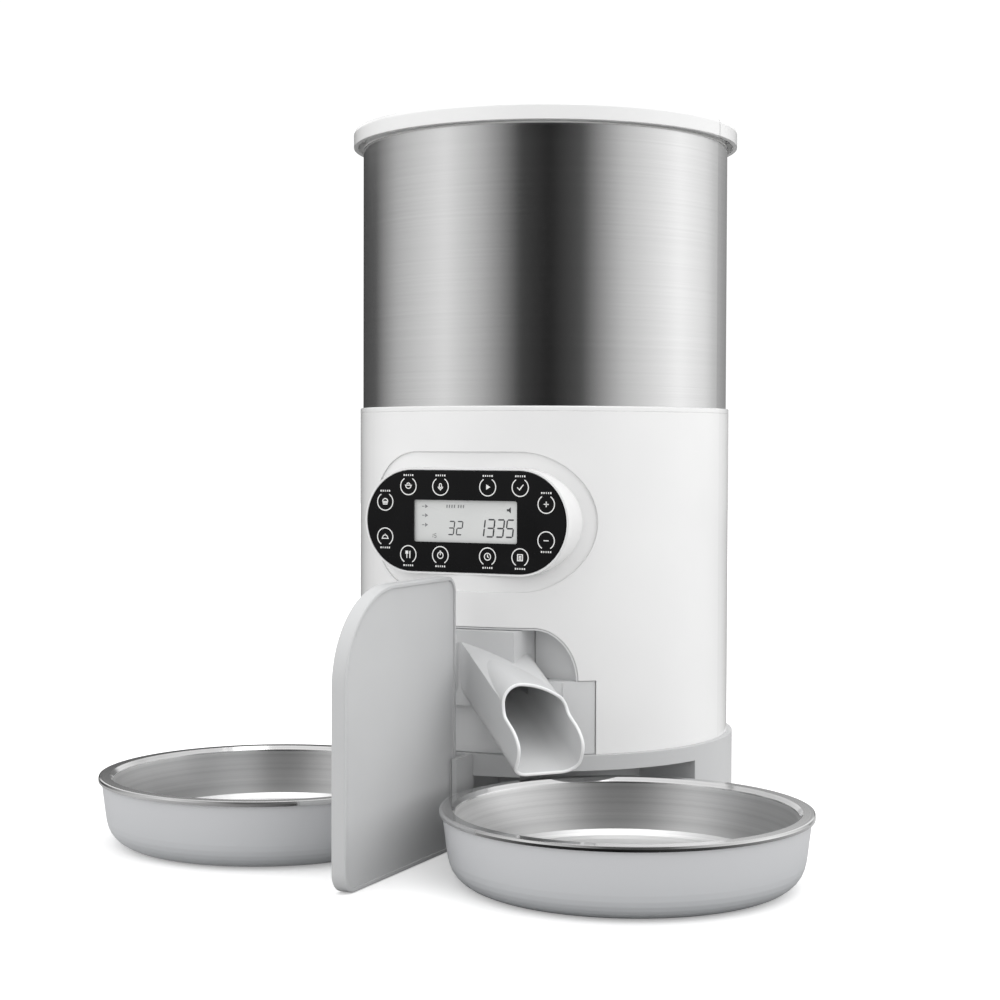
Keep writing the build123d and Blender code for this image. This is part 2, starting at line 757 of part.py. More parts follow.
def make_divider_plate():
    half = divider_thickness / 2
    plate = Pos(-half, 0, 0) * extrude(Plane.YZ * divider_outline(0.0, divider_rear), divider_thickness)
    rims = plate.edges().group_by(Axis.X)
    plate = fillet(rims[0] + rims[-1], 0.7)
    panel = divider_outline(1.8, divider_rear)
    for side in (-1, 1):
        x = half - 0.8 if side > 0 else -half - 2.6
        plate -= Pos(x, 0, 0) * extrude(Plane.YZ * panel, 3.4)
    plate += block(-3.3, 3.3, -divider_rear - 5, -divider_tongue, 0.0, base_top - 1.5)
    return plate


# ---- bowls ----

def make_bowl_holder(x, y):
    lip = bowl_rim_radius - 1.7
    points = [
        (0.0, 1.2), (62.0, 1.2), (62.8, 0.0), (67.6, 0.0), (69.8, 0.5), (72.0, 1.5), (74.0, 2.9),
        (75.7, 4.6), (77.1, 6.6), (78.1, 8.9), (78.8, 11.6), (79.3, 15.0), (lip, 28.6), (lip, 30.6),
        (lip - 2.0, 30.6), (lip - 2.2, 27.5), (77.2, 15.0), (76.6, 11.6), (75.8, 9.4), (74.6, 7.3),
        (73.0, 5.6), (71.0, 4.2), (68.6, 3.3), (66.0, 2.9), (0.0, 2.9),
    ]
    return Pos(x, y, 0) * turned(points)


def make_steel_bowl(x, y):
    rim = bowl_rim_radius
    points = [
        (0.0, 4.2), (64.0, 4.2), (68.5, 5.4), (71.6, 8.4), (76.6, 29.8), (77.6, 31.3),
        (81.6, 31.3), (82.0, 30.4), (rim - 0.1, 30.2), (rim, 31.4), (rim - 0.3, bowl_height - 0.2),
        (rim - 0.9, bowl_height), (77.2, bowl_height), (75.8, 30.6), (70.7, 8.8), (68.0, 6.3), (64.0, 5.2),
        (0.0, 5.2),
    ]
    return Pos(x, y, 0) * turned(points)


# ---- control panel ----

def key_places():
    """Middles of the twelve touch keys, from the panel's own layout."""
    places = []
    for z in (172.0, 138.6):
        for x in (-30.4, -12.9, 12.4, 29.5):
            places.append((x, z))
    for x in (-43.2, 43.0):
        places.append((x, 164.2))
        places.append((x, 147.0))
    return places


def make_control_panel():
    """Black front with the display's window in it."""
    lens = front_prism(slot_face(panel_width, panel_height, panel_centre_z), panel_face - 1.6, panel_face)
    lens = fillet(lens.edges().group_by(Axis.Y)[0], 0.4)
    window = Pos(0, panel_centre_z) * RectangleRounded(window_width, window_height, 1.0)
    return lens - front_prism(window, 90.0, 110.0)


def make_lcd_display():
    module = block(-28.5, 28.5, -94.4, -88.0, panel_centre_z - 11.0, panel_centre_z + 11.0)
    return module


def make_control_board():
    face = slot_face(panel_width - 9.0, panel_height - 6.0, panel_centre_z)
    board = front_prism(face, 86.4, 88.0)
    board += block(-10.0, 10.0, -86.5, -84.0, 146.0, 164.0)
    board += block(-34.0, -26.0, -86.5, -82.5, 148.0, 162.0)
    return board


def make_touch_springs():
    springs = []
    for x, z in key_places():
        coil = Pos(x, -91.2, z) * Rot(90, 0, 0) * Cylinder(2.4, 6.3)
        coil -= Pos(x, -91.2, z) * Rot(90, 0, 0) * Cylinder(1.5, 7.0)
        springs.append(coil)
    return group(springs)


def make_microphone():
    return Pos(43.0, -84.9, 155.6) * Rot(90, 0, 0) * Cylinder(3.0, 3.0)


def make_speaker():
    speaker = Pos(0, 89.0, speaker_z) * Rot(90, 0, 0) * Cylinder(19.5, 4.0)
    speaker += Pos(0, 84.5, speaker_z) * Rot(90, 0, 0) * Cylinder(9.0, 6.0)
    return speaker


nodes = {
    "base": make_base(),
    "bottom_plate": make_bottom_plate(),
    "rubber_feet": make_rubber_feet(),
    "base_screws": make_base_screws(),
    "battery_box": make_battery_box(),
    "battery_cells": make_battery_cells(),
    "battery_contacts": make_battery_contacts(),
    "battery_door": make_battery_door(),
    "dc_inlet": make_dc_inlet(),
    "main_board": make_main_board(),
    "main_housing": make_main_housing(),
    "housing_screws": make_housing_screws(),
    "shell_ring": make_shell_ring(),
    "hopper_shell": make_hopper_shell(),
    "food_hopper": make_food_hopper(),
    "lid": make_lid(),
    "lid_seal": make_lid_seal(),
    "rotor": make_rotor(),
    "stirrer": make_stirrer(),
    "drive_gear": make_drive_gear(),
    "drive_shaft": make_drive_shaft(),
    "shaft_bush": make_shaft_bush(),
    "motor_pinion": make_motor_pinion(),
    "motor_shaft": make_motor_shaft(),
    "gear_motor": make_gear_motor(),
    "motor_plate": make_motor_plate(),
    "motor_screws": make_motor_screws(),
    "food_splitter": make_food_splitter(),
    "chute_surround": make_chute_surround(),
    "divider_plate": make_divider_plate(),
    "bowl_holder_right": make_bowl_holder(right_bowl_x, right_bowl_y),
    "bowl_holder_left": make_bowl_holder(left_bowl_x, left_bowl_y),
    "steel_bowl_right": make_steel_bowl(right_bowl_x, right_bowl_y),
    "steel_bowl_left": make_steel_bowl(left_bowl_x, left_bowl_y),
    "control_panel": make_control_panel(),
    "lcd_display": make_lcd_display(),
    "control_board": make_control_board(),
    "touch_springs": make_touch_springs(),
    "microphone": make_microphone(),
    "speaker": make_speaker(),
}

os.makedirs("parts", exist_ok=True)
for name, shape in nodes.items():
    export_step(Pos(body_x, body_y, 0) * shape, "parts/" + name + ".step")
print("body axis at", round(body_x, 3), round(body_y, 3))
print(len(nodes), "nodes")
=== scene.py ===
import math

import bmesh
import bpy
import numpy as np
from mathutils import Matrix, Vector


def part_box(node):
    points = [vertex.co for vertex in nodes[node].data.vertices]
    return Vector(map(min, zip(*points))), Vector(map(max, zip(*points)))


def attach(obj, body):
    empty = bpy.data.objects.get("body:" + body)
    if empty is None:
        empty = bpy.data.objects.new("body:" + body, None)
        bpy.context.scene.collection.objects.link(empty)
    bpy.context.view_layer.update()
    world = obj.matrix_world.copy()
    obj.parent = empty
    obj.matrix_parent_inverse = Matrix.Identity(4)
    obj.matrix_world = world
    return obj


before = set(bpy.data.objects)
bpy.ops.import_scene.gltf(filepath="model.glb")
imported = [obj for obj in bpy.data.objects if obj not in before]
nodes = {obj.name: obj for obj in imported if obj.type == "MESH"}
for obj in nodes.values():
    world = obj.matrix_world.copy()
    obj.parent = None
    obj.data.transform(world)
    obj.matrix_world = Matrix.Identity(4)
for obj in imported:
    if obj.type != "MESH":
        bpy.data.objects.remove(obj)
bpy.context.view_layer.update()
print("frame loaded")

mm = 0.001

steelLow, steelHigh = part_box("hopper_shell")
axisX = (steelLow.x + steelHigh.x) / 2  # the body's upright axis
axisY = (steelLow.y + steelHigh.y) / 2
panelLow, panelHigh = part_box("control_panel")
panelX = (panelLow.x + panelHigh.x) / 2
panelZ = (panelLow.z + panelHigh.z) / 2


# camera, floor and light

cameraSetup = {
    "azimuth": 23.5,  # degrees to the right of the front
    "distance": 1.008,  # from the body's axis
    "height": 0.193,
    "heading": 24.82,  # degrees to the left of straight back
    "pitch": -1.70,
    "roll": -0.17,
    "lens": 68.8,
}

studio = {
    # brightness of the room round about, by degrees from the viewer's side
    "bands": [
        (-180, 0.04), (-132, 0.10), (-104, 0.52), (-64, 0.90), (-41, 0.56), (-15, 0.05), (3, 0.01),
        (23, 0.08), (50, 0.65), (92, 1.15), (119, 0.90), (145, 0.40), (180, 0.18),
    ],
    "brightest": 1.15,
    "ceilingRise": (0.35, 0.75),  # upward share of a direction
    "wallRise": (0.15, 0.25),
    "wallSpread": (0.40, 0.85),  # share of a direction that points away from the viewer
    "ceilingLevel": 0.95,
    "evenShare": 0.48,  # how much softer the room is for matt surfaces
    "evenLevel": 1.05,
    "mattStrength": 1.66,
    "whiteLevel": 1.05,  # what the eye sees round about
    "floorSize": 9.0,
    "floorHeight": -0.0002,
    "floorTint": 0.86,
    "floorGlow": 0.30,
    "floorBounce": 0.55,  # what lights the object from below
    "floorMirrored": 0.80,  # share of the room's bands that the floor hands on to shiny surfaces
    "topPower": 6.0,
    "topSize": 1.3,
    "topHeight": 1.5,
}


def makeCamera(setup):
    data = bpy.data.cameras.new("viewCamera")
    data.lens = setup["lens"]
    data.sensor_width = 36
    data.clip_end = 20
    camera = bpy.data.objects.new("viewCamera", data)
    turn = math.radians(setup["azimuth"])
    camera.location = (
        axisX + setup["distance"] * math.sin(turn),
        axisY - setup["distance"] * math.cos(turn),
        setup["height"],
    )
    camera.rotation_euler = (
        math.radians(90 + setup["pitch"]),
        math.radians(setup["roll"]),
        math.radians(setup["heading"]),
    )
    bpy.context.scene.collection.objects.link(camera)
    bpy.context.scene.camera = camera


def addNode(tree, kind, **settings):
    made = tree.nodes.new(kind)
    for key, value in settings.items():
        setattr(made, key, value)
    return made


def fed(tree, node, values):
    # sets a node's inputs to numbers, or links them to sockets
    for key, value in values:
        if isinstance(value, (int, float)):
            node.inputs[key].default_value = value
        else:
            tree.links.new(value, node.inputs[key])
    return node.outputs[0]


def computed(tree, operation, *values):
    return fed(tree, addNode(tree, "ShaderNodeMath", operation=operation), enumerate(values))


def combined(tree, **values):
    return fed(tree, addNode(tree, "ShaderNodeCombineXYZ"), values.items())


def fillRamp(ramp, stops):
    # stops are (place, colour) pairs in order
    elements = ramp.color_ramp.elements
    while len(elements) > 1:
        elements.remove(elements[0])
    elements[0].position = stops[0][0]
    elements[0].color = (*stops[0][1], 1)
    for place, colour in stops[1:]:
        elements.new(place).color = (*colour, 1)


def roomBands(tree, direction, look):
    # the room's brightness in a direction, and the direction's own parts
    link = tree.links.new
    turned = addNode(tree, "ShaderNodeMapping")
    turned.inputs["Rotation"].default_value[2] = -math.radians(cameraSetup["azimuth"])
    link(direction, turned.inputs["Vector"])
    parts = addNode(tree, "ShaderNodeSeparateXYZ")
    link(turned.outputs["Vector"], parts.inputs["Vector"])
    towards = computed(tree, "MULTIPLY", parts.outputs["Y"], -1)
    angle = computed(tree, "ARCTAN2", parts.outputs["X"], towards)
    share = addNode(tree, "ShaderNodeMapRange")
    share.inputs["From Min"].default_value = -math.pi
    share.inputs["From Max"].default_value = math.pi
    link(angle, share.inputs["Value"])
    bands = addNode(tree, "ShaderNodeValToRGB")
    bands.color_ramp.interpolation = "LINEAR"
    fillRamp(bands, [
        (0.5 + degrees / 360, (level / look["brightest"],) * 3) for degrees, level in look["bands"]
    ])
    link(share.outputs["Result"], bands.inputs["Fac"])
    return bands, parts


def makeWorld(look):
    # white to the eye, banded in reflections
    world = bpy.data.worlds.new("studioRoom")
    bpy.context.scene.world = world
    world.use_nodes = True
    tree = world.node_tree
    tree.nodes.clear()
    link = tree.links.new
    place = addNode(tree, "ShaderNodeTexCoord")
    bands, parts = roomBands(tree, place.outputs["Generated"], look)
    # brighter ceiling, and a bright wall low behind the object
    lifts = {}
    for name, source in (("ceilingRise", "Z"), ("wallRise", "Z"), ("wallSpread", "Y")):
        rise = addNode(tree, "ShaderNodeMapRange", interpolation_type="SMOOTHSTEP")
        rise.inputs["From Min"].default_value, rise.inputs["From Max"].default_value = look[name]
        link(parts.outputs[source], rise.inputs["Value"])
        lifts[name] = rise.outputs["Result"]
    wall = computed(tree, "MULTIPLY", lifts["wallRise"], lifts["wallSpread"])
    lift = computed(tree, "MAXIMUM", lifts["ceilingRise"], wall)
    mirrored = addNode(tree, "ShaderNodeMix", data_type="RGBA")
    link(lift, mirrored.inputs["Factor"])
    link(bands.outputs["Color"], mirrored.inputs[6])
    mirrored.inputs[7].default_value = (*(look["ceilingLevel"] / look["brightest"],) * 3, 1)
    room = addNode(tree, "ShaderNodeBackground")  # what shiny surfaces mirror
    room.inputs["Strength"].default_value = look["brightest"]
    link(mirrored.outputs[2], room.inputs["Color"])
    softened = addNode(tree, "ShaderNodeMix", data_type="RGBA")
    softened.inputs["Factor"].default_value = look["evenShare"]
    link(bands.outputs["Color"], softened.inputs[6])
    softened.inputs[7].default_value = (*(look["evenLevel"] / look["brightest"],) * 3, 1)
    light = addNode(tree, "ShaderNodeBackground")  # what lights matt surfaces
    light.inputs["Strength"].default_value = look["mattStrength"] * look["brightest"]
    link(softened.outputs[2], light.inputs["Color"])
    white = addNode(tree, "ShaderNodeBackground")
    white.inputs["Color"].default_value = (1, 1, 1, 1)
    white.inputs["Strength"].default_value = look["whiteLevel"]
    path = addNode(tree, "ShaderNodeLightPath")
    chosen = addNode(tree, "ShaderNodeMixShader")
    unseen = addNode(tree, "ShaderNodeMixShader")
    link(path.outputs["Is Glossy Ray"], unseen.inputs["Fac"])
    link(light.outputs[0], unseen.inputs[1])
    link(room.outputs[0], unseen.inputs[2])
    link(path.outputs["Is Camera Ray"], chosen.inputs["Fac"])
    link(unseen.outputs[0], chosen.inputs[1])
    link(white.outputs[0], chosen.inputs[2])
    out = addNode(tree, "ShaderNodeOutputWorld")
    link(chosen.outputs[0], out.inputs["Surface"])


def makeFloor(look):
    mesh = bpy.data.meshes.new("studioFloor")
    half = look["floorSize"] / 2
    corners = [(-half, -half), (half, -half), (half, half), (-half, half)]
    mesh.from_pydata([(x, y, look["floorHeight"]) for x, y in corners], [], [(0, 1, 2, 3)])
    floor = bpy.data.objects.new("studioFloor", mesh)
    bpy.context.scene.collection.objects.link(floor)
    paper = bpy.data.materials.new("studioPaper")
    paper.use_nodes = True
    tree = paper.node_tree
    tree.nodes.clear()
    link = tree.links.new
    seen = addNode(tree, "ShaderNodeBsdfDiffuse")
    seen.inputs["Color"].default_value = (*(look["floorTint"],) * 3, 1)
    glow = addNode(tree, "ShaderNodeEmission")
    glow.inputs["Strength"].default_value = look["floorGlow"]
    white = addNode(tree, "ShaderNodeAddShader")
    link(seen.outputs[0], white.inputs[0])
    link(glow.outputs[0], white.inputs[1])
    path = addNode(tree, "ShaderNodeLightPath")
    dim = addNode(tree, "ShaderNodeBsdfDiffuse")
    dim.inputs["Color"].default_value = (*(look["floorBounce"],) * 3, 1)
    spot = addNode(tree, "ShaderNodeTexCoord")
    fromAxis = addNode(tree, "ShaderNodeVectorMath", operation="SUBTRACT")
    fromAxis.inputs[1].default_value = (axisX, axisY, 0)
    link(spot.outputs["Object"], fromAxis.inputs[0])
    bands = roomBands(tree, fromAxis.outputs["Vector"], look)[0]
    shine = addNode(tree, "ShaderNodeEmission")
    shine.inputs["Strength"].default_value = look["floorMirrored"]
    link(bands.outputs["Color"], shine.inputs["Color"])
    unseen = addNode(tree, "ShaderNodeMixShader")
    link(path.outputs["Is Glossy Ray"], unseen.inputs["Fac"])
    link(dim.outputs[0], unseen.inputs[1])
    link(shine.outputs[0], unseen.inputs[2])
    chosen = addNode(tree, "ShaderNodeMixShader")
    link(path.outputs["Is Camera Ray"], chosen.inputs["Fac"])
    link(unseen.outputs[0], chosen.inputs[1])
    link(white.outputs[0], chosen.inputs[2])
    out = addNode(tree, "ShaderNodeOutputMaterial")
    link(chosen.outputs[0], out.inputs["Surface"])
    mesh.materials.append(paper)


def makeTopLight(look):
    data = bpy.data.lights.new("topPanel", "AREA")
    data.energy = look["topPower"]
    data.size = look["topSize"]
    lamp = bpy.data.objects.new("topPanel", data)
    lamp.location = (axisX, axisY, look["topHeight"])
    bpy.context.scene.collection.objects.link(lamp)


makeCamera(cameraSetup)
makeWorld(studio)
makeFloor(studio)
makeTopLight(studio)
bpy.context.scene.view_settings.view_transform = "Standard"
print("camera, room and floor made")


# finishes

def startFinish(name):
    mat = bpy.data.materials.new(name)
    mat.use_nodes = True
    tree = mat.node_tree
    place = addNode(tree, "ShaderNodeTexCoord")
    return mat, tree, tree.nodes["Principled BSDF"], place.outputs["Object"]


def stretched(tree, place, scale, centre=(0, 0, 0)):
    mapping = addNode(tree, "ShaderNodeMapping")
    mapping.inputs["Scale"].default_value = scale
    mapping.inputs["Location"].default_value = [-c * s for c, s in zip(centre, scale)]
    tree.links.new(place, mapping.inputs["Vector"])
    return mapping.outputs["Vector"]


def speckle(tree, place, scale, detail=2.0, rough=0.5):
    noise = addNode(tree, "ShaderNodeTexNoise")
    noise.inputs["Scale"].default_value = scale
    noise.inputs["Detail"].default_value = detail
    noise.inputs["Roughness"].default_value = rough
    tree.links.new(place, noise.inputs["Vector"])
    return noise.outputs["Fac"]


def tinted(tree, share, shader, stops):
    ramp = addNode(tree, "ShaderNodeValToRGB")
    fillRamp(ramp, stops)
    tree.links.new(share, ramp.inputs["Fac"])
    tree.links.new(ramp.outputs["Color"], shader.inputs["Base Color"])


def roughened(tree, share, shader, low, high):
    spread = addNode(tree, "ShaderNodeMapRange")
    spread.inputs["From Min"].default_value = 0.3
    spread.inputs["From Max"].default_value = 0.7
    spread.inputs["To Min"].default_value = low
    spread.inputs["To Max"].default_value = high
    tree.links.new(share, spread.inputs["Value"])
    tree.links.new(spread.outputs["Result"], shader.inputs["Roughness"])


def bumped(tree, share, shader, depth, strength=1.0, edge=0.0):
    bump = addNode(tree, "ShaderNodeBump")
    bump.inputs["Strength"].default_value = strength
    bump.inputs["Distance"].default_value = depth
    tree.links.new(share, bump.inputs["Height"])
    if edge > 0:  # softens the light along sharp edges
        soft = addNode(tree, "ShaderNodeBevel", samples=4)
        soft.inputs["Radius"].default_value = edge
        tree.links.new(soft.outputs["Normal"], bump.inputs["Normal"])
    tree.links.new(bump.outputs["Normal"], shader.inputs["Normal"])


def mouldedPlastic(name, look):
    mat, tree, shader, place = startFinish(name)
    cloud = speckle(tree, place, 9, 3)
    tinted(tree, cloud, shader, [(0.35, look["dark"]), (0.65, look["light"])])
    grain = speckle(tree, place, look["grain"], 2)
    roughened(tree, grain, shader, *look["rough"])
    bumped(tree, grain, shader, look["depth"], edge=look["edge"])
    shader.inputs["Coat Weight"].default_value = look.get("coat", 0.0)
    shader.inputs["Coat Roughness"].default_value = look.get("coatRough", 0.1)
    shader.inputs["Subsurface Weight"].default_value = look.get("glow", 0.0)
    shader.inputs["Subsurface Radius"].default_value = (0.003, 0.003, 0.003)
    return mat


plastics = {
    "glossWhite": {
        "dark": (0.83, 0.83, 0.83), "light": (0.87, 0.87, 0.868), "rough": (0.16, 0.22),
        "grain": 700, "depth": 0.000004, "edge": 0.0006, "coat": 0.35, "coatRough": 0.06,
    },
    "satinGrey": {
        "dark": (0.535, 0.54, 0.545), "light": (0.575, 0.58, 0.583), "rough": (0.36, 0.48),
        "grain": 2600, "depth": 0.00001, "edge": 0.0005,
    },
    "chuteGrey": {
        "dark": (0.585, 0.59, 0.595), "light": (0.62, 0.625, 0.628), "rough": (0.34, 0.44),
        "grain": 2600, "depth": 0.00001, "edge": 0.0006,
    },
    "surroundGrey": {
        "dark": (0.66, 0.665, 0.67), "light": (0.70, 0.705, 0.708), "rough": (0.34, 0.44),
        "grain": 2600, "depth": 0.00001, "edge": 0.0005,
    },
    "lipWhite": {
        "dark": (0.84, 0.845, 0.85), "light": (0.88, 0.882, 0.885), "rough": (0.28, 0.36),
        "grain": 2400, "depth": 0.000008, "edge": 0.0002,
    },
    "innerWhite": {
        "dark": (0.70, 0.70, 0.69), "light": (0.76, 0.76, 0.75), "rough": (0.40, 0.52),
        "grain": 2200, "depth": 0.00001, "edge": 0.0005,
    },
    "paddleGrey": {
        "dark": (0.30, 0.31, 0.33), "light": (0.36, 0.37, 0.38), "rough": (0.40, 0.55),
        "grain": 2000, "depth": 0.00002, "edge": 0.0004,
    },
    "acetal": {
        "dark": (0.72, 0.69, 0.58), "light": (0.80, 0.77, 0.66), "rough": (0.35, 0.45),
        "grain": 1800, "depth": 0.00001, "edge": 0.0002,
    },
    "satinBlack": {
        "dark": (0.018, 0.018, 0.019), "light": (0.03, 0.03, 0.031), "rough": (0.40, 0.55),
        "grain": 2400, "depth": 0.00002, "edge": 0.0003,
    },
    "softRubber": {
        "dark": (0.020, 0.020, 0.020), "light": (0.045, 0.045, 0.044), "rough": (0.70, 0.88),
        "grain": 3000, "depth": 0.00004, "edge": 0.0004,
    },
    "clearSilicone": {
        "dark": (0.62, 0.63, 0.64), "light": (0.70, 0.71, 0.72), "rough": (0.45, 0.60),
        "grain": 1600, "depth": 0.00001, "edge": 0.0004, "glow": 0.25,
    },
}


def shadedHolderPlastic(name, look):
    # cool grey with painted shade that deepens towards the foot
    mat, tree, shader, place = startFinish(name)
    link = tree.links.new
    parts = addNode(tree, "ShaderNodeSeparateXYZ")
    link(place, parts.inputs["Vector"])
    height = addNode(tree, "ShaderNodeMapRange")
    height.inputs["From Max"].default_value = look["height"]
    link(parts.outputs["Z"], height.inputs["Value"])
    cloud = speckle(tree, place, 14, 3)
    # height drives the painted shade, darker low down; the cloud adds random tone
    wobble = computed(tree, "MULTIPLY_ADD", cloud, look["wobble"], height.outputs["Result"])
    tinted(tree, wobble, shader, look["stops"])
    grain = speckle(tree, place, 2600, 2)
    roughened(tree, grain, shader, 0.36, 0.46)
    bumped(tree, grain, shader, 0.00001, edge=0.0006)
    return mat


def brushedDrum(name, look):
    # fine lines that run round the drum
    mat, tree, shader, place = startFinish(name)
    link = tree.links.new
    centre = (axisX, axisY, 0)
    coarse = speckle(tree, stretched(tree, place, (5, 5, look["coarse"]), centre), 1, 4, 0.6)
    fine = speckle(tree, stretched(tree, place, (11, 11, look["fine"]), centre), 1, 3, 0.6)
    lines = computed(tree, "MULTIPLY", computed(tree, "ADD", coarse, fine), 0.5)
    tinted(tree, lines, shader, [(0.32, look["dark"]), (0.68, look["light"])])
    roughened(tree, lines, shader, *look["rough"])
    bumped(tree, lines, shader, look["depth"], 0.6)
    shader.inputs["Metallic"].default_value = 1
    shader.inputs["Anisotropic"].default_value = look["pull"]
    shader.inputs["Anisotropic Rotation"].default_value = 0.25
    around = addNode(tree, "ShaderNodeTangent", direction_type="RADIAL", axis="Z")
    link(around.outputs["Tangent"], shader.inputs["Tangent"])
    return mat


def spunSteel(name, look, centre):
    # turned lines round the bowl's own middle, polished over the rim
    mat, tree, shader, place = startFinish(name)
    link = tree.links.new
    middle = stretched(tree, place, (1, 1, 1), centre)
    parts = addNode(tree, "ShaderNodeSeparateXYZ")
    link(middle, parts.inputs["Vector"])
    reach = addNode(tree, "ShaderNodeVectorMath", operation="LENGTH")
    link(combined(tree, X=parts.outputs["X"], Y=parts.outputs["Y"]), reach.inputs[0])
    lines = addNode(tree, "ShaderNodeTexNoise", noise_dimensions="1D")
    lines.inputs["Scale"].default_value = look["lines"]
    lines.inputs["Detail"].default_value = 3
    link(reach.outputs["Value"], lines.inputs["W"])
    tinted(tree, lines.outputs["Fac"], shader, [(0.3, look["dark"]), (0.7, look["light"])])
    polish = addNode(tree, "ShaderNodeMapRange", interpolation_type="SMOOTHSTEP")
    polish.inputs["From Min"].default_value = look["rimStart"]
    polish.inputs["From Max"].default_value = look["rimEnd"]
    polish.inputs["To Min"].default_value = look["insideRough"]
    polish.inputs["To Max"].default_value = look["rimRough"]
    link(parts.outputs["Z"], polish.inputs["Value"])
    link(polish.outputs["Result"], shader.inputs["Roughness"])
    bumped(tree, lines.outputs["Fac"], shader, look["depth"], 0.5)
    shader.inputs["Metallic"].default_value = 1
    return mat


def plainMetal(name, look):
    mat, tree, shader, place = startFinish(name)
    scratches = speckle(tree, stretched(tree, place, (60, 60, 900)), 1, 4, 0.6)
    tinted(tree, scratches, shader, [(0.3, look["dark"]), (0.7, look["light"])])
    roughened(tree, scratches, shader, *look["rough"])
    bumped(tree, scratches, shader, 0.000006, 0.5, edge=0.0002)
    shader.inputs["Metallic"].default_value = 1
    return mat


metals = {
    "platedScrew": {"dark": (0.42, 0.42, 0.44), "light": (0.58, 0.58, 0.60), "rough": (0.22, 0.38)},
    "groundShaft": {"dark": (0.50, 0.50, 0.51), "light": (0.62, 0.62, 0.63), "rough": (0.14, 0.24)},
    "motorCan": {"dark": (0.48, 0.48, 0.48), "light": (0.58, 0.58, 0.57), "rough": (0.26, 0.40)},
    "nickelPlate": {"dark": (0.62, 0.60, 0.56), "light": (0.74, 0.72, 0.67), "rough": (0.16, 0.28)},
    "turnedBrass": {"dark": (0.62, 0.44, 0.16), "light": (0.76, 0.57, 0.25), "rough": (0.20, 0.32)},
}


def glossBlack(name):
    mat, tree, shader, place = startFinish(name)
    smear = speckle(tree, place, 40, 4)
    tinted(tree, smear, shader, [(0.3, (0.0035, 0.0035, 0.0038)), (0.7, (0.0055, 0.0055, 0.006))])
    roughened(tree, smear, shader, 0.10, 0.18)
    bumped(tree, smear, shader, 0.000004, 0.4, edge=0.0003)
    shader.inputs["Specular IOR Level"].default_value = 0.16
    return mat


def displayGlass(name, look):
    # grey reflective display with a faint cell pattern
    mat, tree, shader, place = startFinish(name)
    link = tree.links.new
    cells = addNode(tree, "ShaderNodeTexVoronoi", distance="CHEBYCHEV")
    cells.inputs["Scale"].default_value = 1400
    cells.inputs["Randomness"].default_value = 0
    link(place, cells.inputs["Vector"])
    cloud = speckle(tree, place, 22, 2)
    both = computed(tree, "MULTIPLY_ADD", cells.outputs["Distance"], 0.10, cloud)
    tinted(tree, both, shader, [(0.35, look["dark"]), (0.70, look["light"])])
    roughened(tree, cloud, shader, 0.22, 0.30)
    shader.inputs["Coat Weight"].default_value = 0.4
    shader.inputs["Coat Roughness"].default_value = 0.05
    return mat


def printedMark(name, colour, glow=0.0):
    mat, tree, shader, place = startFinish(name)
    ink = speckle(tree, place, 1500, 3)
    dark = tuple(c * 0.88 for c in colour)
    tinted(tree, ink, shader, [(0.3, dark), (0.6, colour)])
    roughened(tree, ink, shader, 0.45, 0.6)
    # emission makes a print glow: painted light
    if glow > 0:
        shader.inputs["Emission Color"].default_value = (*colour, 1)
        shader.inputs["Emission Strength"].default_value = glow
    return mat


def circuitGreen(name):
    # solder mask over branching traces
    mat, tree, shader, place = startFinish(name)
    wave = addNode(tree, "ShaderNodeTexWave", wave_type="BANDS", bands_direction="DIAGONAL")
    wave.inputs["Scale"].default_value = 160
    wave.inputs["Distortion"].default_value = 9
    wave.inputs["Detail"].default_value = 1
    tree.links.new(place, wave.inputs["Vector"])
    tinted(tree, wave.outputs["Fac"], shader, [
        (0.0, (0.010, 0.075, 0.030)), (0.55, (0.012, 0.09, 0.036)),
        (0.62, (0.022, 0.17, 0.065)), (1.0, (0.026, 0.19, 0.07)),
    ])
    roughened(tree, wave.outputs["Fac"], shader, 0.30, 0.42)
    bumped(tree, wave.outputs["Fac"], shader, 0.00002, 0.6)
    return mat


def cellJacket(name, look):
    # dark jacket with a warm band at one end
    mat, tree, shader, place = startFinish(name)
    parts = addNode(tree, "ShaderNodeSeparateXYZ")
    tree.links.new(place, parts.inputs["Vector"])
    along = addNode(tree, "ShaderNodeMapRange")
    along.inputs["From Min"].default_value = look["front"]
    along.inputs["From Max"].default_value = look["rear"]
    tree.links.new(parts.outputs["Y"], along.inputs["Value"])
    bare, jacket, band = (0.55, 0.55, 0.56), (0.02, 0.021, 0.025), (0.60, 0.33, 0.12)
    tinted(tree, along.outputs["Result"], shader, [
        (0.0, bare), (0.045, bare), (0.05, jacket), (0.68, jacket),
        (0.685, band), (0.95, band), (0.955, bare),
    ])
    scuff = speckle(tree, place, 240, 4)
    roughened(tree, scuff, shader, 0.22, 0.36)
    bumped(tree, scuff, shader, 0.000008, 0.5)
    shader.inputs["Metallic"].default_value = 0.6
    return mat


finishes = {name: mouldedPlastic(name, look) for name, look in plastics.items()}
finishes.update({name: plainMetal(name, look) for name, look in metals.items()})
finishes["glossBlack"] = glossBlack("glossBlack")
finishes["circuitGreen"] = circuitGreen("circuitGreen")
finishes["displayGlass"] = displayGlass("displayGlass", {
    "dark": (0.62, 0.63, 0.625), "light": (0.74, 0.75, 0.74),
})
# painted glow: emission makes the white key print brighter than ink under the room's light
finishes["whiteInk"] = printedMark("whiteInk", (0.80, 0.80, 0.79), 0.12)
finishes["displayInk"] = printedMark("displayInk", (0.055, 0.057, 0.06))
finishes["faintInk"] = printedMark("faintInk", (0.25, 0.255, 0.26))
# painted shade: the holders' grey is darker towards the foot
finishes["holderGrey"] = shadedHolderPlastic("holderGrey", {
    "height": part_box("bowl_holder_right")[1].z, "wobble": 0.05,
    "stops": [(0.0, (0.46, 0.475, 0.49)), (0.35, (0.565, 0.575, 0.59)), (1.0, (0.615, 0.62, 0.635))],
})
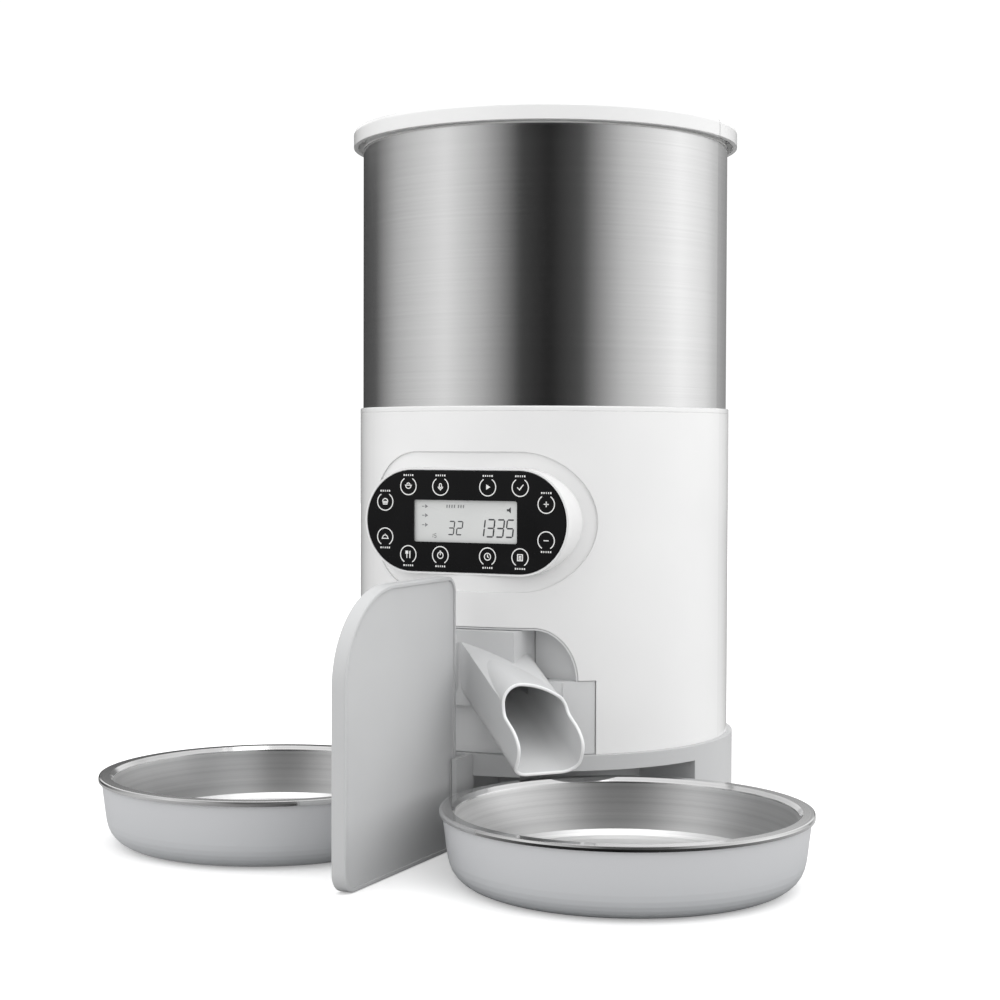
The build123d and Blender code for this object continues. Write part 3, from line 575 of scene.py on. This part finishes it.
finishes["brushedDrum"] = brushedDrum("brushedDrum", {
    "coarse": 900, "fine": 3200, "dark": (0.74, 0.74, 0.74), "light": (0.80, 0.80, 0.80),
    "rough": (0.165, 0.19), "depth": 0.000001, "pull": 0.5,
})
cellLow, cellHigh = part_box("battery_cells")
finishes["cellJacket"] = cellJacket("cellJacket", {"front": cellLow.y, "rear": cellHigh.y})

bowlLook = {
    "lines": 1500, "dark": (0.66, 0.66, 0.66), "light": (0.80, 0.80, 0.80), "depth": 0.000004,
    "rimStart": 0.0295, "rimEnd": 0.0308, "insideRough": 0.34, "rimRough": 0.09,
}
for side in ("right", "left"):
    low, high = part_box("steel_bowl_" + side)
    middle = ((low.x + high.x) / 2, (low.y + high.y) / 2, 0)
    finishes["spunSteel_" + side] = spunSteel("spunSteel_" + side, bowlLook, middle)

nodeFinishes = {
    "glossWhite": ["main_housing", "shell_ring", "lid"],
    "satinGrey": ["base", "bottom_plate", "battery_box", "battery_door", "motor_plate", "divider_plate"],
    "chuteGrey": ["food_splitter"],
    "surroundGrey": ["chute_surround"],
    "innerWhite": ["food_hopper"],
    "paddleGrey": ["rotor"],
    "acetal": ["drive_gear", "motor_pinion"],
    "satinBlack": ["dc_inlet", "speaker"],
    "softRubber": ["rubber_feet"],
    "clearSilicone": ["lid_seal", "stirrer"],
    "holderGrey": ["bowl_holder_right", "bowl_holder_left"],
    "brushedDrum": ["hopper_shell"],
    "spunSteel_right": ["steel_bowl_right"],
    "spunSteel_left": ["steel_bowl_left"],
    "platedScrew": ["base_screws", "housing_screws", "motor_screws"],
    "groundShaft": ["drive_shaft", "motor_shaft"],
    "motorCan": ["gear_motor"],
    "nickelPlate": ["battery_contacts", "touch_springs", "microphone"],
    "turnedBrass": ["shaft_bush"],
    "glossBlack": ["control_panel"],
    "displayGlass": ["lcd_display"],
    "circuitGreen": ["control_board", "main_board"],
    "cellJacket": ["battery_cells"],
}
for finish, members in nodeFinishes.items():
    for member in members:
        nodes[member].data.materials.clear()
        nodes[member].data.materials.append(finishes[finish])
print("finishes on", sum(len(m) for m in nodeFinishes.values()), "nodes")


# mesh helpers

def keepPiece(name, mesh, finish, body, smooth=False):
    piece = bpy.data.objects.new(name, mesh)
    bpy.context.scene.collection.objects.link(piece)
    mesh.materials.clear()
    mesh.materials.append(finishes[finish])
    mesh.polygons.foreach_set("use_smooth", [smooth] * len(mesh.polygons))
    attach(piece, body)
    return piece


def meshFrom(bm, name):
    bmesh.ops.remove_doubles(bm, verts=bm.verts, dist=1e-7)
    bmesh.ops.recalc_face_normals(bm, faces=bm.faces)
    mesh = bpy.data.meshes.new(name)
    bm.to_mesh(mesh)
    bm.free()
    return mesh


def arcPoints(x, z, radius, start, end, count):
    points = []
    for i in range(count + 1):
        turn = math.radians(start + (end - start) * i / count)
        points.append((x + radius * math.cos(turn), z + radius * math.sin(turn)))
    return points


def addPlate(bm, outline, front, back):
    # a filled outline in x and z with a little thickness
    near = [bm.verts.new((x, front, z)) for x, z in outline]
    far = [bm.verts.new((x, back, z)) for x, z in outline]
    bm.faces.new(near)
    bm.faces.new(far[::-1])
    for i in range(len(outline)):
        j = (i + 1) % len(outline)
        bm.faces.new((near[j], near[i], far[i], far[j]))


def addStroke(bm, points, width, front, back, closed=False):
    # a flat line of even width along the points
    count = len(points)
    sides = []
    for i, (x, z) in enumerate(points):
        before = points[(i - 1) % count] if closed or i > 0 else points[i]
        after = points[(i + 1) % count] if closed or i < count - 1 else points[i]
        dx, dz = after[0] - before[0], after[1] - before[1]
        size = math.hypot(dx, dz)
        nx, nz = -dz / size * width / 2, dx / size * width / 2
        if 0 < i < count - 1 or closed:  # keeps the width at a corner
            inX, inZ = x - before[0], z - before[1]
            outX, outZ = after[0] - x, after[1] - z
            cosine = (inX * outX + inZ * outZ) / (math.hypot(inX, inZ) * math.hypot(outX, outZ))
            spread = min(1.5, 1 / max(0.3, math.sqrt((1 + cosine) / 2)))
            nx, nz = nx * spread, nz * spread
        corners = ((1, front), (-1, front), (-1, back), (1, back))
        sides.append([bm.verts.new((x + nx * s, y, z + nz * s)) for s, y in corners])
    last = count if closed else count - 1
    for i in range(last):
        a, b = sides[i], sides[(i + 1) % count]
        for k in range(4):
            m = (k + 1) % 4
            bm.faces.new((a[k], a[m], b[m], b[k]))
    if not closed:
        bm.faces.new(sides[0])
        bm.faces.new(sides[-1][::-1])


def addBead(bm, points, radius, around):
    # a round bead along a closed path of 3-D points
    path = np.array(points, float)
    count = len(path)
    normal = None
    rings = []
    for i in range(count):
        tangent = path[(i + 1) % count] - path[i - 1]
        tangent /= np.linalg.norm(tangent)
        if normal is None:
            normal = np.cross(tangent, (0, 0, 1))
            if np.linalg.norm(normal) < 0.1:
                normal = np.cross(tangent, (1, 0, 0))
        normal = normal - tangent * float(normal @ tangent)
        normal /= np.linalg.norm(normal)
        other = np.cross(tangent, normal)
        ring = []
        for k in range(around):
            turn = 2 * math.pi * k / around
            ring.append(bm.verts.new(path[i] + radius * (math.cos(turn) * normal + math.sin(turn) * other)))
        rings.append(ring)
    # the last ring joins the nearest turn of the first
    gaps = [(rings[-1][0].co - rings[0][k].co).length for k in range(around)]
    shift = gaps.index(min(gaps))
    for i in range(count):
        a = rings[i]
        b = rings[(i + 1) % count]
        turn = shift if i == count - 1 else 0
        for k in range(around):
            m = (k + 1) % around
            bm.faces.new((a[k], a[m], b[(m + turn) % around], b[(k + turn) % around]))


# touch keys: rings and label bars from one node tree

keyLayout = {
    "rowHeights": (16.8, -16.6),  # mm from the panel's middle
    "rowPlaces": (-30.4, -12.9, 12.4, 29.5),
    "endPlaces": (-43.2, 43.0),
    "endHeights": (9.0, -8.2),
    "ringRadius": 4.25,
    "ringWidth": 0.5,
    "gap": 62.0,  # degrees left open towards the label
    "labelReach": 5.35,
    "barCount": 5,
    "barSize": 0.62,
    "barTall": 1.35,  # height as a share of the width
    "barPitch": 1.15,
    "barUneven": (0.75, 1.25),
    "seed": 7,
    "ringSteps": 40,
    "proud": 0.05,
    "sunk": 0.10,
}


def keyPlaces(layout):
    places = []
    for z in layout["rowHeights"]:
        for x in layout["rowPlaces"]:
            places.append((x, z))
    for x in layout["endPlaces"]:
        for z in layout["endHeights"]:
            places.append((x, z))
    return places


def keyTree(layout):
    tree = bpy.data.node_groups.new("keyMarks", "GeometryNodeTree")
    face = tree.interface
    face.new_socket("Geometry", in_out="INPUT", socket_type="NodeSocketGeometry")
    for name in ("Ring radius", "Ring width", "Thickness", "Sweep", "Label reach", "Bar size", "Bar pitch"):
        face.new_socket(name, in_out="INPUT", socket_type="NodeSocketFloat")
    face.new_socket("Bar count", in_out="INPUT", socket_type="NodeSocketInt")
    face.new_socket("Finish", in_out="INPUT", socket_type="NodeSocketMaterial")
    face.new_socket("Geometry", in_out="OUTPUT", socket_type="NodeSocketGeometry")
    link = tree.links.new
    given = addNode(tree, "NodeGroupInput")
    result = addNode(tree, "NodeGroupOutput")
    # ring with a gap at its top
    arc = addNode(tree, "GeometryNodeCurveArc", mode="RADIUS")
    arc.inputs["Resolution"].default_value = layout["ringSteps"]
    link(given.outputs["Ring radius"], arc.inputs["Radius"])
    link(given.outputs["Sweep"], arc.inputs["Sweep Angle"])
    start = computed(tree, "MULTIPLY_ADD", given.outputs["Sweep"], -0.5, -math.pi / 2)
    link(start, arc.inputs["Start Angle"])
    profile = addNode(tree, "GeometryNodeCurvePrimitiveQuadrilateral", mode="RECTANGLE")
    link(given.outputs["Ring width"], profile.inputs["Width"])
    link(given.outputs["Thickness"], profile.inputs["Height"])
    ring = addNode(tree, "GeometryNodeCurveToMesh")
    ring.inputs["Fill Caps"].default_value = True
    link(arc.outputs["Curve"], ring.inputs["Curve"])
    link(profile.outputs["Curve"], ring.inputs["Profile Curve"])
    # row of label bars over the gap
    row = addNode(tree, "GeometryNodeMeshLine", mode="OFFSET")
    link(given.outputs["Bar count"], row.inputs["Count"])
    link(combined(tree, X=given.outputs["Bar pitch"]), row.inputs["Offset"])
    gaps = computed(tree, "SUBTRACT", given.outputs["Bar count"], 1)
    span = computed(tree, "MULTIPLY", gaps, given.outputs["Bar pitch"])
    left = computed(tree, "MULTIPLY", span, -0.5)
    link(combined(tree, X=left, Y=given.outputs["Label reach"]), row.inputs["Start Location"])
    wide = given.outputs["Bar size"]
    tall = computed(tree, "MULTIPLY", wide, layout["barTall"])
    bar = addNode(tree, "GeometryNodeMeshCube")
    link(combined(tree, X=wide, Y=tall, Z=given.outputs["Thickness"]), bar.inputs["Size"])
    bars = addNode(tree, "GeometryNodeInstanceOnPoints")
    link(row.outputs["Mesh"], bars.inputs["Points"])
    link(bar.outputs["Mesh"], bars.inputs["Instance"])
    uneven = addNode(tree, "FunctionNodeRandomValue", data_type="FLOAT")
    uneven.inputs[2].default_value, uneven.inputs[3].default_value = layout["barUneven"]
    uneven.inputs["Seed"].default_value = layout["seed"]
    link(combined(tree, X=uneven.outputs[1], Y=1, Z=1), bars.inputs["Scale"])
    marks = addNode(tree, "GeometryNodeJoinGeometry")
    link(ring.outputs["Mesh"], marks.inputs["Geometry"])
    link(bars.outputs["Instances"], marks.inputs["Geometry"])
    # one set on each key, stood upright and turned towards its label
    side = addNode(tree, "GeometryNodeInputNamedAttribute", data_type="FLOAT")
    side.inputs["Name"].default_value = "labelTurn"
    turn = combined(tree, X=math.pi / 2, Y=side.outputs["Attribute"])
    placed = addNode(tree, "GeometryNodeInstanceOnPoints")
    link(given.outputs["Geometry"], placed.inputs["Points"])
    link(marks.outputs["Geometry"], placed.inputs["Instance"])
    link(turn, placed.inputs["Rotation"])
    real = addNode(tree, "GeometryNodeRealizeInstances")
    link(placed.outputs["Instances"], real.inputs["Geometry"])
    coated = addNode(tree, "GeometryNodeSetMaterial")
    link(real.outputs["Geometry"], coated.inputs["Geometry"])
    link(given.outputs["Finish"], coated.inputs["Material"])
    link(coated.outputs["Geometry"], result.inputs["Geometry"])
    return tree


def runTree(name, points, tree, values, attributes):
    # evaluates a node tree on loose points and returns a plain mesh
    seed = bpy.data.meshes.new(name + "Points")
    seed.from_pydata(points, [], [])
    for key, column in attributes.items():
        seed.attributes.new(key, "FLOAT", "POINT").data.foreach_set("value", column)
    holder = bpy.data.objects.new(name + "Points", seed)
    bpy.context.scene.collection.objects.link(holder)
    modifier = holder.modifiers.new("marks", "NODES")
    modifier.node_group = tree
    for item in tree.interface.items_tree:
        if item.in_out == "INPUT" and item.name in values:
            modifier[item.identifier] = values[item.name]
    graph = bpy.context.evaluated_depsgraph_get()
    mesh = bpy.data.meshes.new_from_object(holder.evaluated_get(graph))
    bpy.data.objects.remove(holder)
    mesh.name = name
    return mesh


def makeKeyMarks(layout):
    places = keyPlaces(layout)
    middle = panelLow.y + (layout["sunk"] - layout["proud"]) / 2 * mm
    points = [(panelX + x * mm, middle, panelZ + z * mm) for x, z in places]
    values = {
        "Ring radius": layout["ringRadius"] * mm,
        "Ring width": layout["ringWidth"] * mm,
        "Thickness": (layout["proud"] + layout["sunk"]) * mm,
        "Sweep": math.radians(360 - layout["gap"]),
        "Label reach": layout["labelReach"] * mm,
        "Bar size": layout["barSize"] * mm,
        "Bar pitch": layout["barPitch"] * mm,
        "Bar count": layout["barCount"],
        "Finish": finishes["whiteInk"],
    }
    turns = [0.0 if z > 0 else math.pi for x, z in places]
    mesh = runTree("keyRings", points, keyTree(layout), values, {"labelTurn": turns})
    return keepPiece("keyRings", mesh, "whiteInk", "housing")


makeKeyMarks(keyLayout)
print("key rings made")


# pictures inside the keys, drawn on a circle of radius 1

bowlIcon = [
    ("line", arcPoints(0, 0.10, 0.42, 180, 360, 14)),
    ("line", [(-0.52, 0.12), (0.52, 0.12)]),
    ("line", arcPoints(0, 0.16, 0.26, 15, 165, 8)),
]
microphoneIcon = [
    ("loop", arcPoints(0, 0.22, 0.16, 0, 180, 8) + arcPoints(0, -0.02, 0.16, 180, 360, 8)),
    ("line", arcPoints(0, -0.02, 0.34, 180, 360, 12)),
    ("line", [(0, -0.36), (0, -0.55)]),
]
playIcon = [("fill", [(-0.22, -0.36), (0.40, 0.0), (-0.22, 0.36)])]
tickIcon = [("line", [(-0.42, 0.0), (-0.12, -0.32), (0.46, 0.38)])]
forkIcon = [
    ("line", [(-0.22, -0.5), (-0.22, 0.5)]),
    ("line", [(-0.36, 0.5), (-0.36, 0.12), (-0.08, 0.12), (-0.08, 0.5)]),
    ("fill", [(0.16, -0.5), (0.30, -0.5), (0.34, 0.5), (0.16, 0.44)]),
]
timerIcon = [
    ("loop", arcPoints(0, 0, 0.42, 0, 350, 26)),
    ("line", [(0, 0.02), (0, 0.30)]),
    ("line", [(-0.12, 0.56), (0.12, 0.56)]),
]
clockIcon = [
    ("loop", arcPoints(0, 0, 0.46, 0, 350, 26)),
    ("line", [(0, 0.30), (0, 0), (0.20, -0.12)]),
]
listIcon = [("loop", [(-0.36, -0.40), (0.36, -0.40), (0.36, 0.40), (-0.36, 0.40)])]
listIcon += [("line", [(-0.2, z), (0.2, z)]) for z in (0.16, -0.02, -0.20)]
lunchIcon = [("line", arcPoints(0, 0.02, 0.40, 0, 180, 12))]
lunchIcon += [("line", [(-x, z), (x, z)]) for x, z in ((0.44, 0.02), (0.40, -0.16), (0.34, -0.34))]
clocheIcon = [
    ("line", arcPoints(0, -0.18, 0.40, 0, 180, 12)),
    ("line", [(-0.54, -0.24), (0.54, -0.24)]),
    ("fill", arcPoints(0, 0.30, 0.09, 0, 315, 7)),
]
minusIcon = [("line", [(-0.36, 0), (0.36, 0)])]
plusIcon = minusIcon + [("line", [(0, -0.36), (0, 0.36)])]

iconSetup = {
    "size": 3.6,  # mm, the circle that a picture is drawn on
    "line": 0.46,
    "order": [
        bowlIcon, microphoneIcon, playIcon, tickIcon, forkIcon, timerIcon,
        clockIcon, listIcon, lunchIcon, clocheIcon, plusIcon, minusIcon,
    ],
}


def makeIcons(setup, layout):
    bm = bmesh.new()
    front = panelLow.y - layout["proud"] * mm
    back = panelLow.y + layout["sunk"] * mm
    size = setup["size"] * mm
    for (x, z), picture in zip(keyPlaces(layout), setup["order"]):
        for kind, outline in picture:
            points = [(panelX + x * mm + px * size, panelZ + z * mm + pz * size) for px, pz in outline]
            if kind == "fill":
                addPlate(bm, points, front, back)
            else:
                addStroke(bm, points, setup["line"] * mm, front, back, kind == "loop")
    return keepPiece("keyIcons", meshFrom(bm, "keyIcons"), "whiteInk", "housing")


makeIcons(iconSetup, keyLayout)


# figures on the display

displaySetup = {
    "front": 0.04,  # mm in front of the glass
    "sunk": 0.10,
    "slant": 0.12,
    "segment": 0.17,  # line width as a share of a figure's width
    "figures": [  # text, left edge, middle height, width, height, pitch
        ("13", 6.0, -3.0, 4.3, 9.0, 5.1),
        ("35", 16.2, -3.0, 4.3, 9.0, 5.1),
        ("32", -9.4, -3.3, 3.4, 7.0, 4.4),
        ("15", -18.9, -7.2, 1.3, 2.1, 1.8),
    ],
    "colonPlace": (15.1, -3.0),
    "colonGap": 1.5,
    "dotRadius": 0.42,
    "arrowPlaces": ((-21.5, 7.0), (-21.5, 2.6), (-21.5, -2.0)),
    "arrowLine": 0.4,
    "topBars": (-10.2, 7.2, 7),  # left edge, middle height, count
    "topPitch": 1.35,
    "topGap": 0.8,  # between the first four bars and the rest
    "topLine": 0.62,
    "hornPlace": (23.4, 5.8),
    "horn": [(-1.6, -0.5), (-0.7, -0.5), (0.5, -1.5), (0.5, 1.5), (-0.7, 0.5), (-1.6, 0.5)],
}
litSegments = {"1": "bc", "2": "abged", "3": "abgcd", "5": "afgcd"}


def segmentOutline(letter, width, height, line):
    # one lit bar of a seven-bar figure, pointed at both ends
    half = line / 2
    level = {"a": height - half, "g": height / 2, "d": half}
    if letter in level:
        z = level[letter]
        left, right = half * 1.25, width - half * 1.25
        return [(left, z), (left + half, z - half), (right - half, z - half),
                (right, z), (right - half, z + half), (left + half, z + half)]
    x = half if letter in "ef" else width - half
    low = height / 2 if letter in "bf" else half
    high = height - half if letter in "bf" else height / 2
    low, high = low + half * 0.3, high - half * 0.3
    return [(x, low), (x + half, low + half), (x + half, high - half),
            (x, high), (x - half, high - half), (x - half, low + half)]


def makeDisplay(setup):
    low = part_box("lcd_display")[0]
    front = low.y - setup["front"] * mm
    back = low.y + setup["sunk"] * mm
    dark, faint = bmesh.new(), bmesh.new()

    def place(x, z):
        return (panelX + x * mm, panelZ + z * mm)

    for text, left, middle, width, height, pitch in setup["figures"]:
        for i, figure in enumerate(text):
            for letter in litSegments[figure]:
                outline = segmentOutline(letter, width, height, width * setup["segment"])
                points = []
                for px, pz in outline:
                    lean = (pz - height / 2) * setup["slant"]
                    points.append(place(left + i * pitch + px + lean, middle - height / 2 + pz))
                addPlate(dark, points, front, back)
    x, z = setup["colonPlace"]
    for dz in (-setup["colonGap"], setup["colonGap"]):
        dot = arcPoints(x + dz * setup["slant"], z + dz, setup["dotRadius"], 0, 315, 7)
        addPlate(dark, [place(px, pz) for px, pz in dot], front, back)
    for x, z in setup["arrowPlaces"]:
        addPlate(faint, [place(x - 0.5, z - 1.0), place(x + 1.1, z), place(x - 0.5, z + 1.0)], front, back)
        addStroke(faint, [place(x - 2.2, z), place(x - 0.9, z)], setup["arrowLine"] * mm, front, back)
    left, z, count = setup["topBars"]
    for i in range(count):
        x = left + i * setup["topPitch"] + (setup["topGap"] if i > 3 else 0)
        bar = [place(x, z - 0.75), place(x + 0.15, z + 0.75)]
        addStroke(faint, bar, setup["topLine"] * mm, front, back)
    x, z = setup["hornPlace"]
    addPlate(dark, [place(x + dx, z + dz) for dx, dz in setup["horn"]], front, back)
    keepPiece("displayFigures", meshFrom(dark, "displayFigures"), "displayInk", "housing")
    keepPiece("displayHints", meshFrom(faint, "displayHints"), "faintInk", "housing")


makeDisplay(displaySetup)
print("panel marks made")


# rounded lips round the chutes' mouths

chuteSetup = {
    "direction": 50.0,  # degrees from the front
    "slope": 0.5,
    "root": (0.2, -100.4),  # mm from the body's axis
    "crease": 98.3,
    "width": 34.0,
    # cross-section at the mouth, up from the crease
    "wallTop": -1.5,
    "nearRadius": 9.4,
    "peak": (9.5, 7.5),
    "roofMiddle": (21.6, 5.0),
    "shoulder": (30.6, 0.4),
    "farRadius": 9.0,
    "farTop": -6.0,
    "low": -29.0,
    "foot": 8.0,
    "archSlope": 0.28,
    "archStart": -0.4,  # above this the section belongs to the arch
    "archLeast": 0.6,  # a shorter arch stays above this
    "inset": 0.72,  # middle of the wall
    "bead": 0.78,
    "beadSides": 12,
    "beadSteps": 260,
    "smoothing": 3,
    # the open end's outline, outwards and up
    "lip": [
        (46.6, 86.0), (46.6, 75.0), (48.8, 67.5), (58.5, 61.5), (63.6, 55.0),
        (61.9, 48.3), (57.0, 42.3), (53.2, 37.5), (44.0, 20.0),
    ],
    "leftShorter": 9.0,
}


def smoothLine(points, steps):
    # Catmull-Rom curve through the points
    path = [points[0]] + list(points) + [points[-1]]
    made = []
    for i in range(1, len(path) - 2):
        p0, p1, p2, p3 = (np.array(path[i + k], float) for k in (-1, 0, 1, 2))
        for k in range(steps):
            t = k / steps
            square = 2 * p0 - 5 * p1 + 4 * p2 - p3
            cube = 3 * p1 - p0 - 3 * p2 + p3
            made.append(0.5 * (2 * p1 + (p2 - p0) * t + square * t ** 2 + cube * t ** 3))
    made.append(np.array(path[-2], float))
    return made


def cornerArc(start, end, radius, steps):
    # an arc that bulges to the left of the way from start to end
    a, b = np.array(start, float), np.array(end, float)
    chord = b - a
    size = np.linalg.norm(chord)
    across = np.array((chord[1], -chord[0])) / size
    centre = (a + b) / 2 + across * math.sqrt(max(0.0, radius ** 2 - size ** 2 / 4))
    first = math.atan2(*(a - centre)[::-1])
    last = math.atan2(*(b - centre)[::-1])
    if last > first:
        last -= 2 * math.pi
    turns = np.linspace(first, last, steps)
    return [tuple(centre + radius * np.array((math.cos(t), math.sin(t)))) for t in turns]


def sectionLine(setup, inset):
    # the chute's cross-section, clockwise from the foot of its left side
    left, right, low = inset, setup["width"] - inset, setup["low"] + inset
    foot = setup["foot"] - inset
    peak = (setup["peak"][0], setup["peak"][1] - inset)
    middle = (setup["roofMiddle"][0] - 0.2 * inset, setup["roofMiddle"][1] - inset)
    shoulder = (setup["shoulder"][0] - 0.6 * inset, setup["shoulder"][1] - 0.8 * inset)
    roof = np.polyfit(*zip(peak, middle, shoulder), 2)
    corners = [(left, low + foot), (left, setup["wallTop"])]
    corners += cornerArc(corners[-1], peak, setup["nearRadius"] - inset, 14)[1:]
    corners += [(x, float(np.polyval(roof, x))) for x in np.linspace(peak[0], shoulder[0], 14)[1:]]
    corners += cornerArc(corners[-1], (right, setup["farTop"]), setup["farRadius"] - inset, 10)[1:]
    corners += [(right, low + foot)]
    corners += cornerArc((right, low + foot), (right - foot, low), foot, 10)[1:]
    corners += cornerArc((left + foot, low), (left, low + foot), foot, 10)
    dense = []
    for (x0, z0), (x1, z1) in zip(corners, corners[1:]):
        pieces = max(1, int(math.hypot(x1 - x0, z1 - z0) / 0.4))
        for k in range(pieces):
            dense.append((x0 + (x1 - x0) * k / pieces, z0 + (z1 - z0) * k / pieces))
    return dense


def makeLip(setup, side):
    lip = smoothLine(setup["lip"], 40)
    roofEnd = setup["lip"][0][0]
    if side < 0:
        lip = [(s - setup["leftShorter"], z) for s, z in lip]
    heights = np.array([z - setup["crease"] + setup["slope"] * s for s, z in lip])
    reaches = np.array([s for s, z in lip])
    order = np.argsort(heights)
    turn = math.radians(setup["direction"])
    path = []
    for across, up in sectionLine(setup, setup["inset"]):
        out = float(np.interp(up, heights[order], reaches[order]))
        if up > setup["archStart"]:  # the arch runs down less steeply than the floor
            rise = (setup["slope"] - setup["archSlope"]) * (out - roofEnd)
            up = max(up + rise, min(up, setup["archLeast"]))
        x = setup["root"][0] + out * math.sin(turn) + across * math.cos(turn)
        y = setup["root"][1] - out * math.cos(turn) + across * math.sin(turn)
        z = setup["crease"] - setup["slope"] * out + up
        path.append((axisX + side * x * mm, axisY + y * mm, z * mm))
    # even spacing, then a light smoothing
    line = np.array(path + [path[0]])
    lengths = np.concatenate([[0], np.cumsum(np.linalg.norm(np.diff(line, axis=0), axis=1))])
    spots = np.linspace(0, lengths[-1], setup["beadSteps"], endpoint=False)
    even = np.stack([np.interp(spots, lengths, line[:, k]) for k in range(3)], 1)
    for _ in range(setup["smoothing"]):
        even = (np.roll(even, 1, 0) + 2 * even + np.roll(even, -1, 0)) / 4
    bm = bmesh.new()
    addBead(bm, even, setup["bead"] * mm, setup["beadSides"])
    name = "chuteLip_right" if side > 0 else "chuteLip_left"
    return keepPiece(name, meshFrom(bm, name), "lipWhite", "housing", True)


for side in (1, -1):
    makeLip(chuteSetup, side)
print("chute lips made")


# power inlet pin

inletSetup = {
    "radius": 1.0,  # mm
    "length": 8.0,
    "tip": 0.6,
    "tipSteps": 5,
    "depth": 10.0,  # from the inlet's rear to the pin's foot
    "foot": [(0, -0.5), (1.4, -0.5), (1.4, 0.3), (1.0, 0.6)],  # radius, distance along
    "around": 24,
}


def addLathe(bm, profile, around, centre):
    # turns a profile of (radius, distance along), in metres, round a line along y
    rings = []
    for radius, along in profile:
        if radius < 1e-9:
            rings.append([bm.verts.new((centre[0], centre[1] + along, centre[2]))])
            continue
        ring = []
        for k in range(around):
            turn = 2 * math.pi * k / around
            x, z = radius * math.cos(turn), radius * math.sin(turn)
            ring.append(bm.verts.new((centre[0] + x, centre[1] + along, centre[2] + z)))
        rings.append(ring)
    for a, b in zip(rings, rings[1:]):
        for k in range(around):
            m = (k + 1) % around
            if len(a) == 1:
                bm.faces.new((a[0], b[k], b[m]))
            elif len(b) == 1:
                bm.faces.new((a[k], a[m], b[0]))
            else:
                bm.faces.new((a[k], a[m], b[m], b[k]))


def makeInletPin(setup):
    low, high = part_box("dc_inlet")
    centre = ((low.x + high.x) / 2, high.y - setup["depth"] * mm, (low.z + high.z) / 2)
    radius, length, tip = (setup[k] * mm for k in ("radius", "length", "tip"))
    profile = [(r * mm, along * mm) for r, along in setup["foot"]] + [(radius, length - tip)]
    last = setup["tipSteps"]
    for i in range(1, last + 1):
        turn = math.radians(90 * i / last)
        reach = radius - tip + tip * math.cos(turn) if i < last else 0
        profile.append((reach, length - tip + tip * math.sin(turn)))
    bm = bmesh.new()
    addLathe(bm, profile, setup["around"], centre)
    return keepPiece("inletPin", meshFrom(bm, "inletPin"), "nickelPlate", "housing", True)


makeInletPin(inletSetup)
print("inlet pin made")
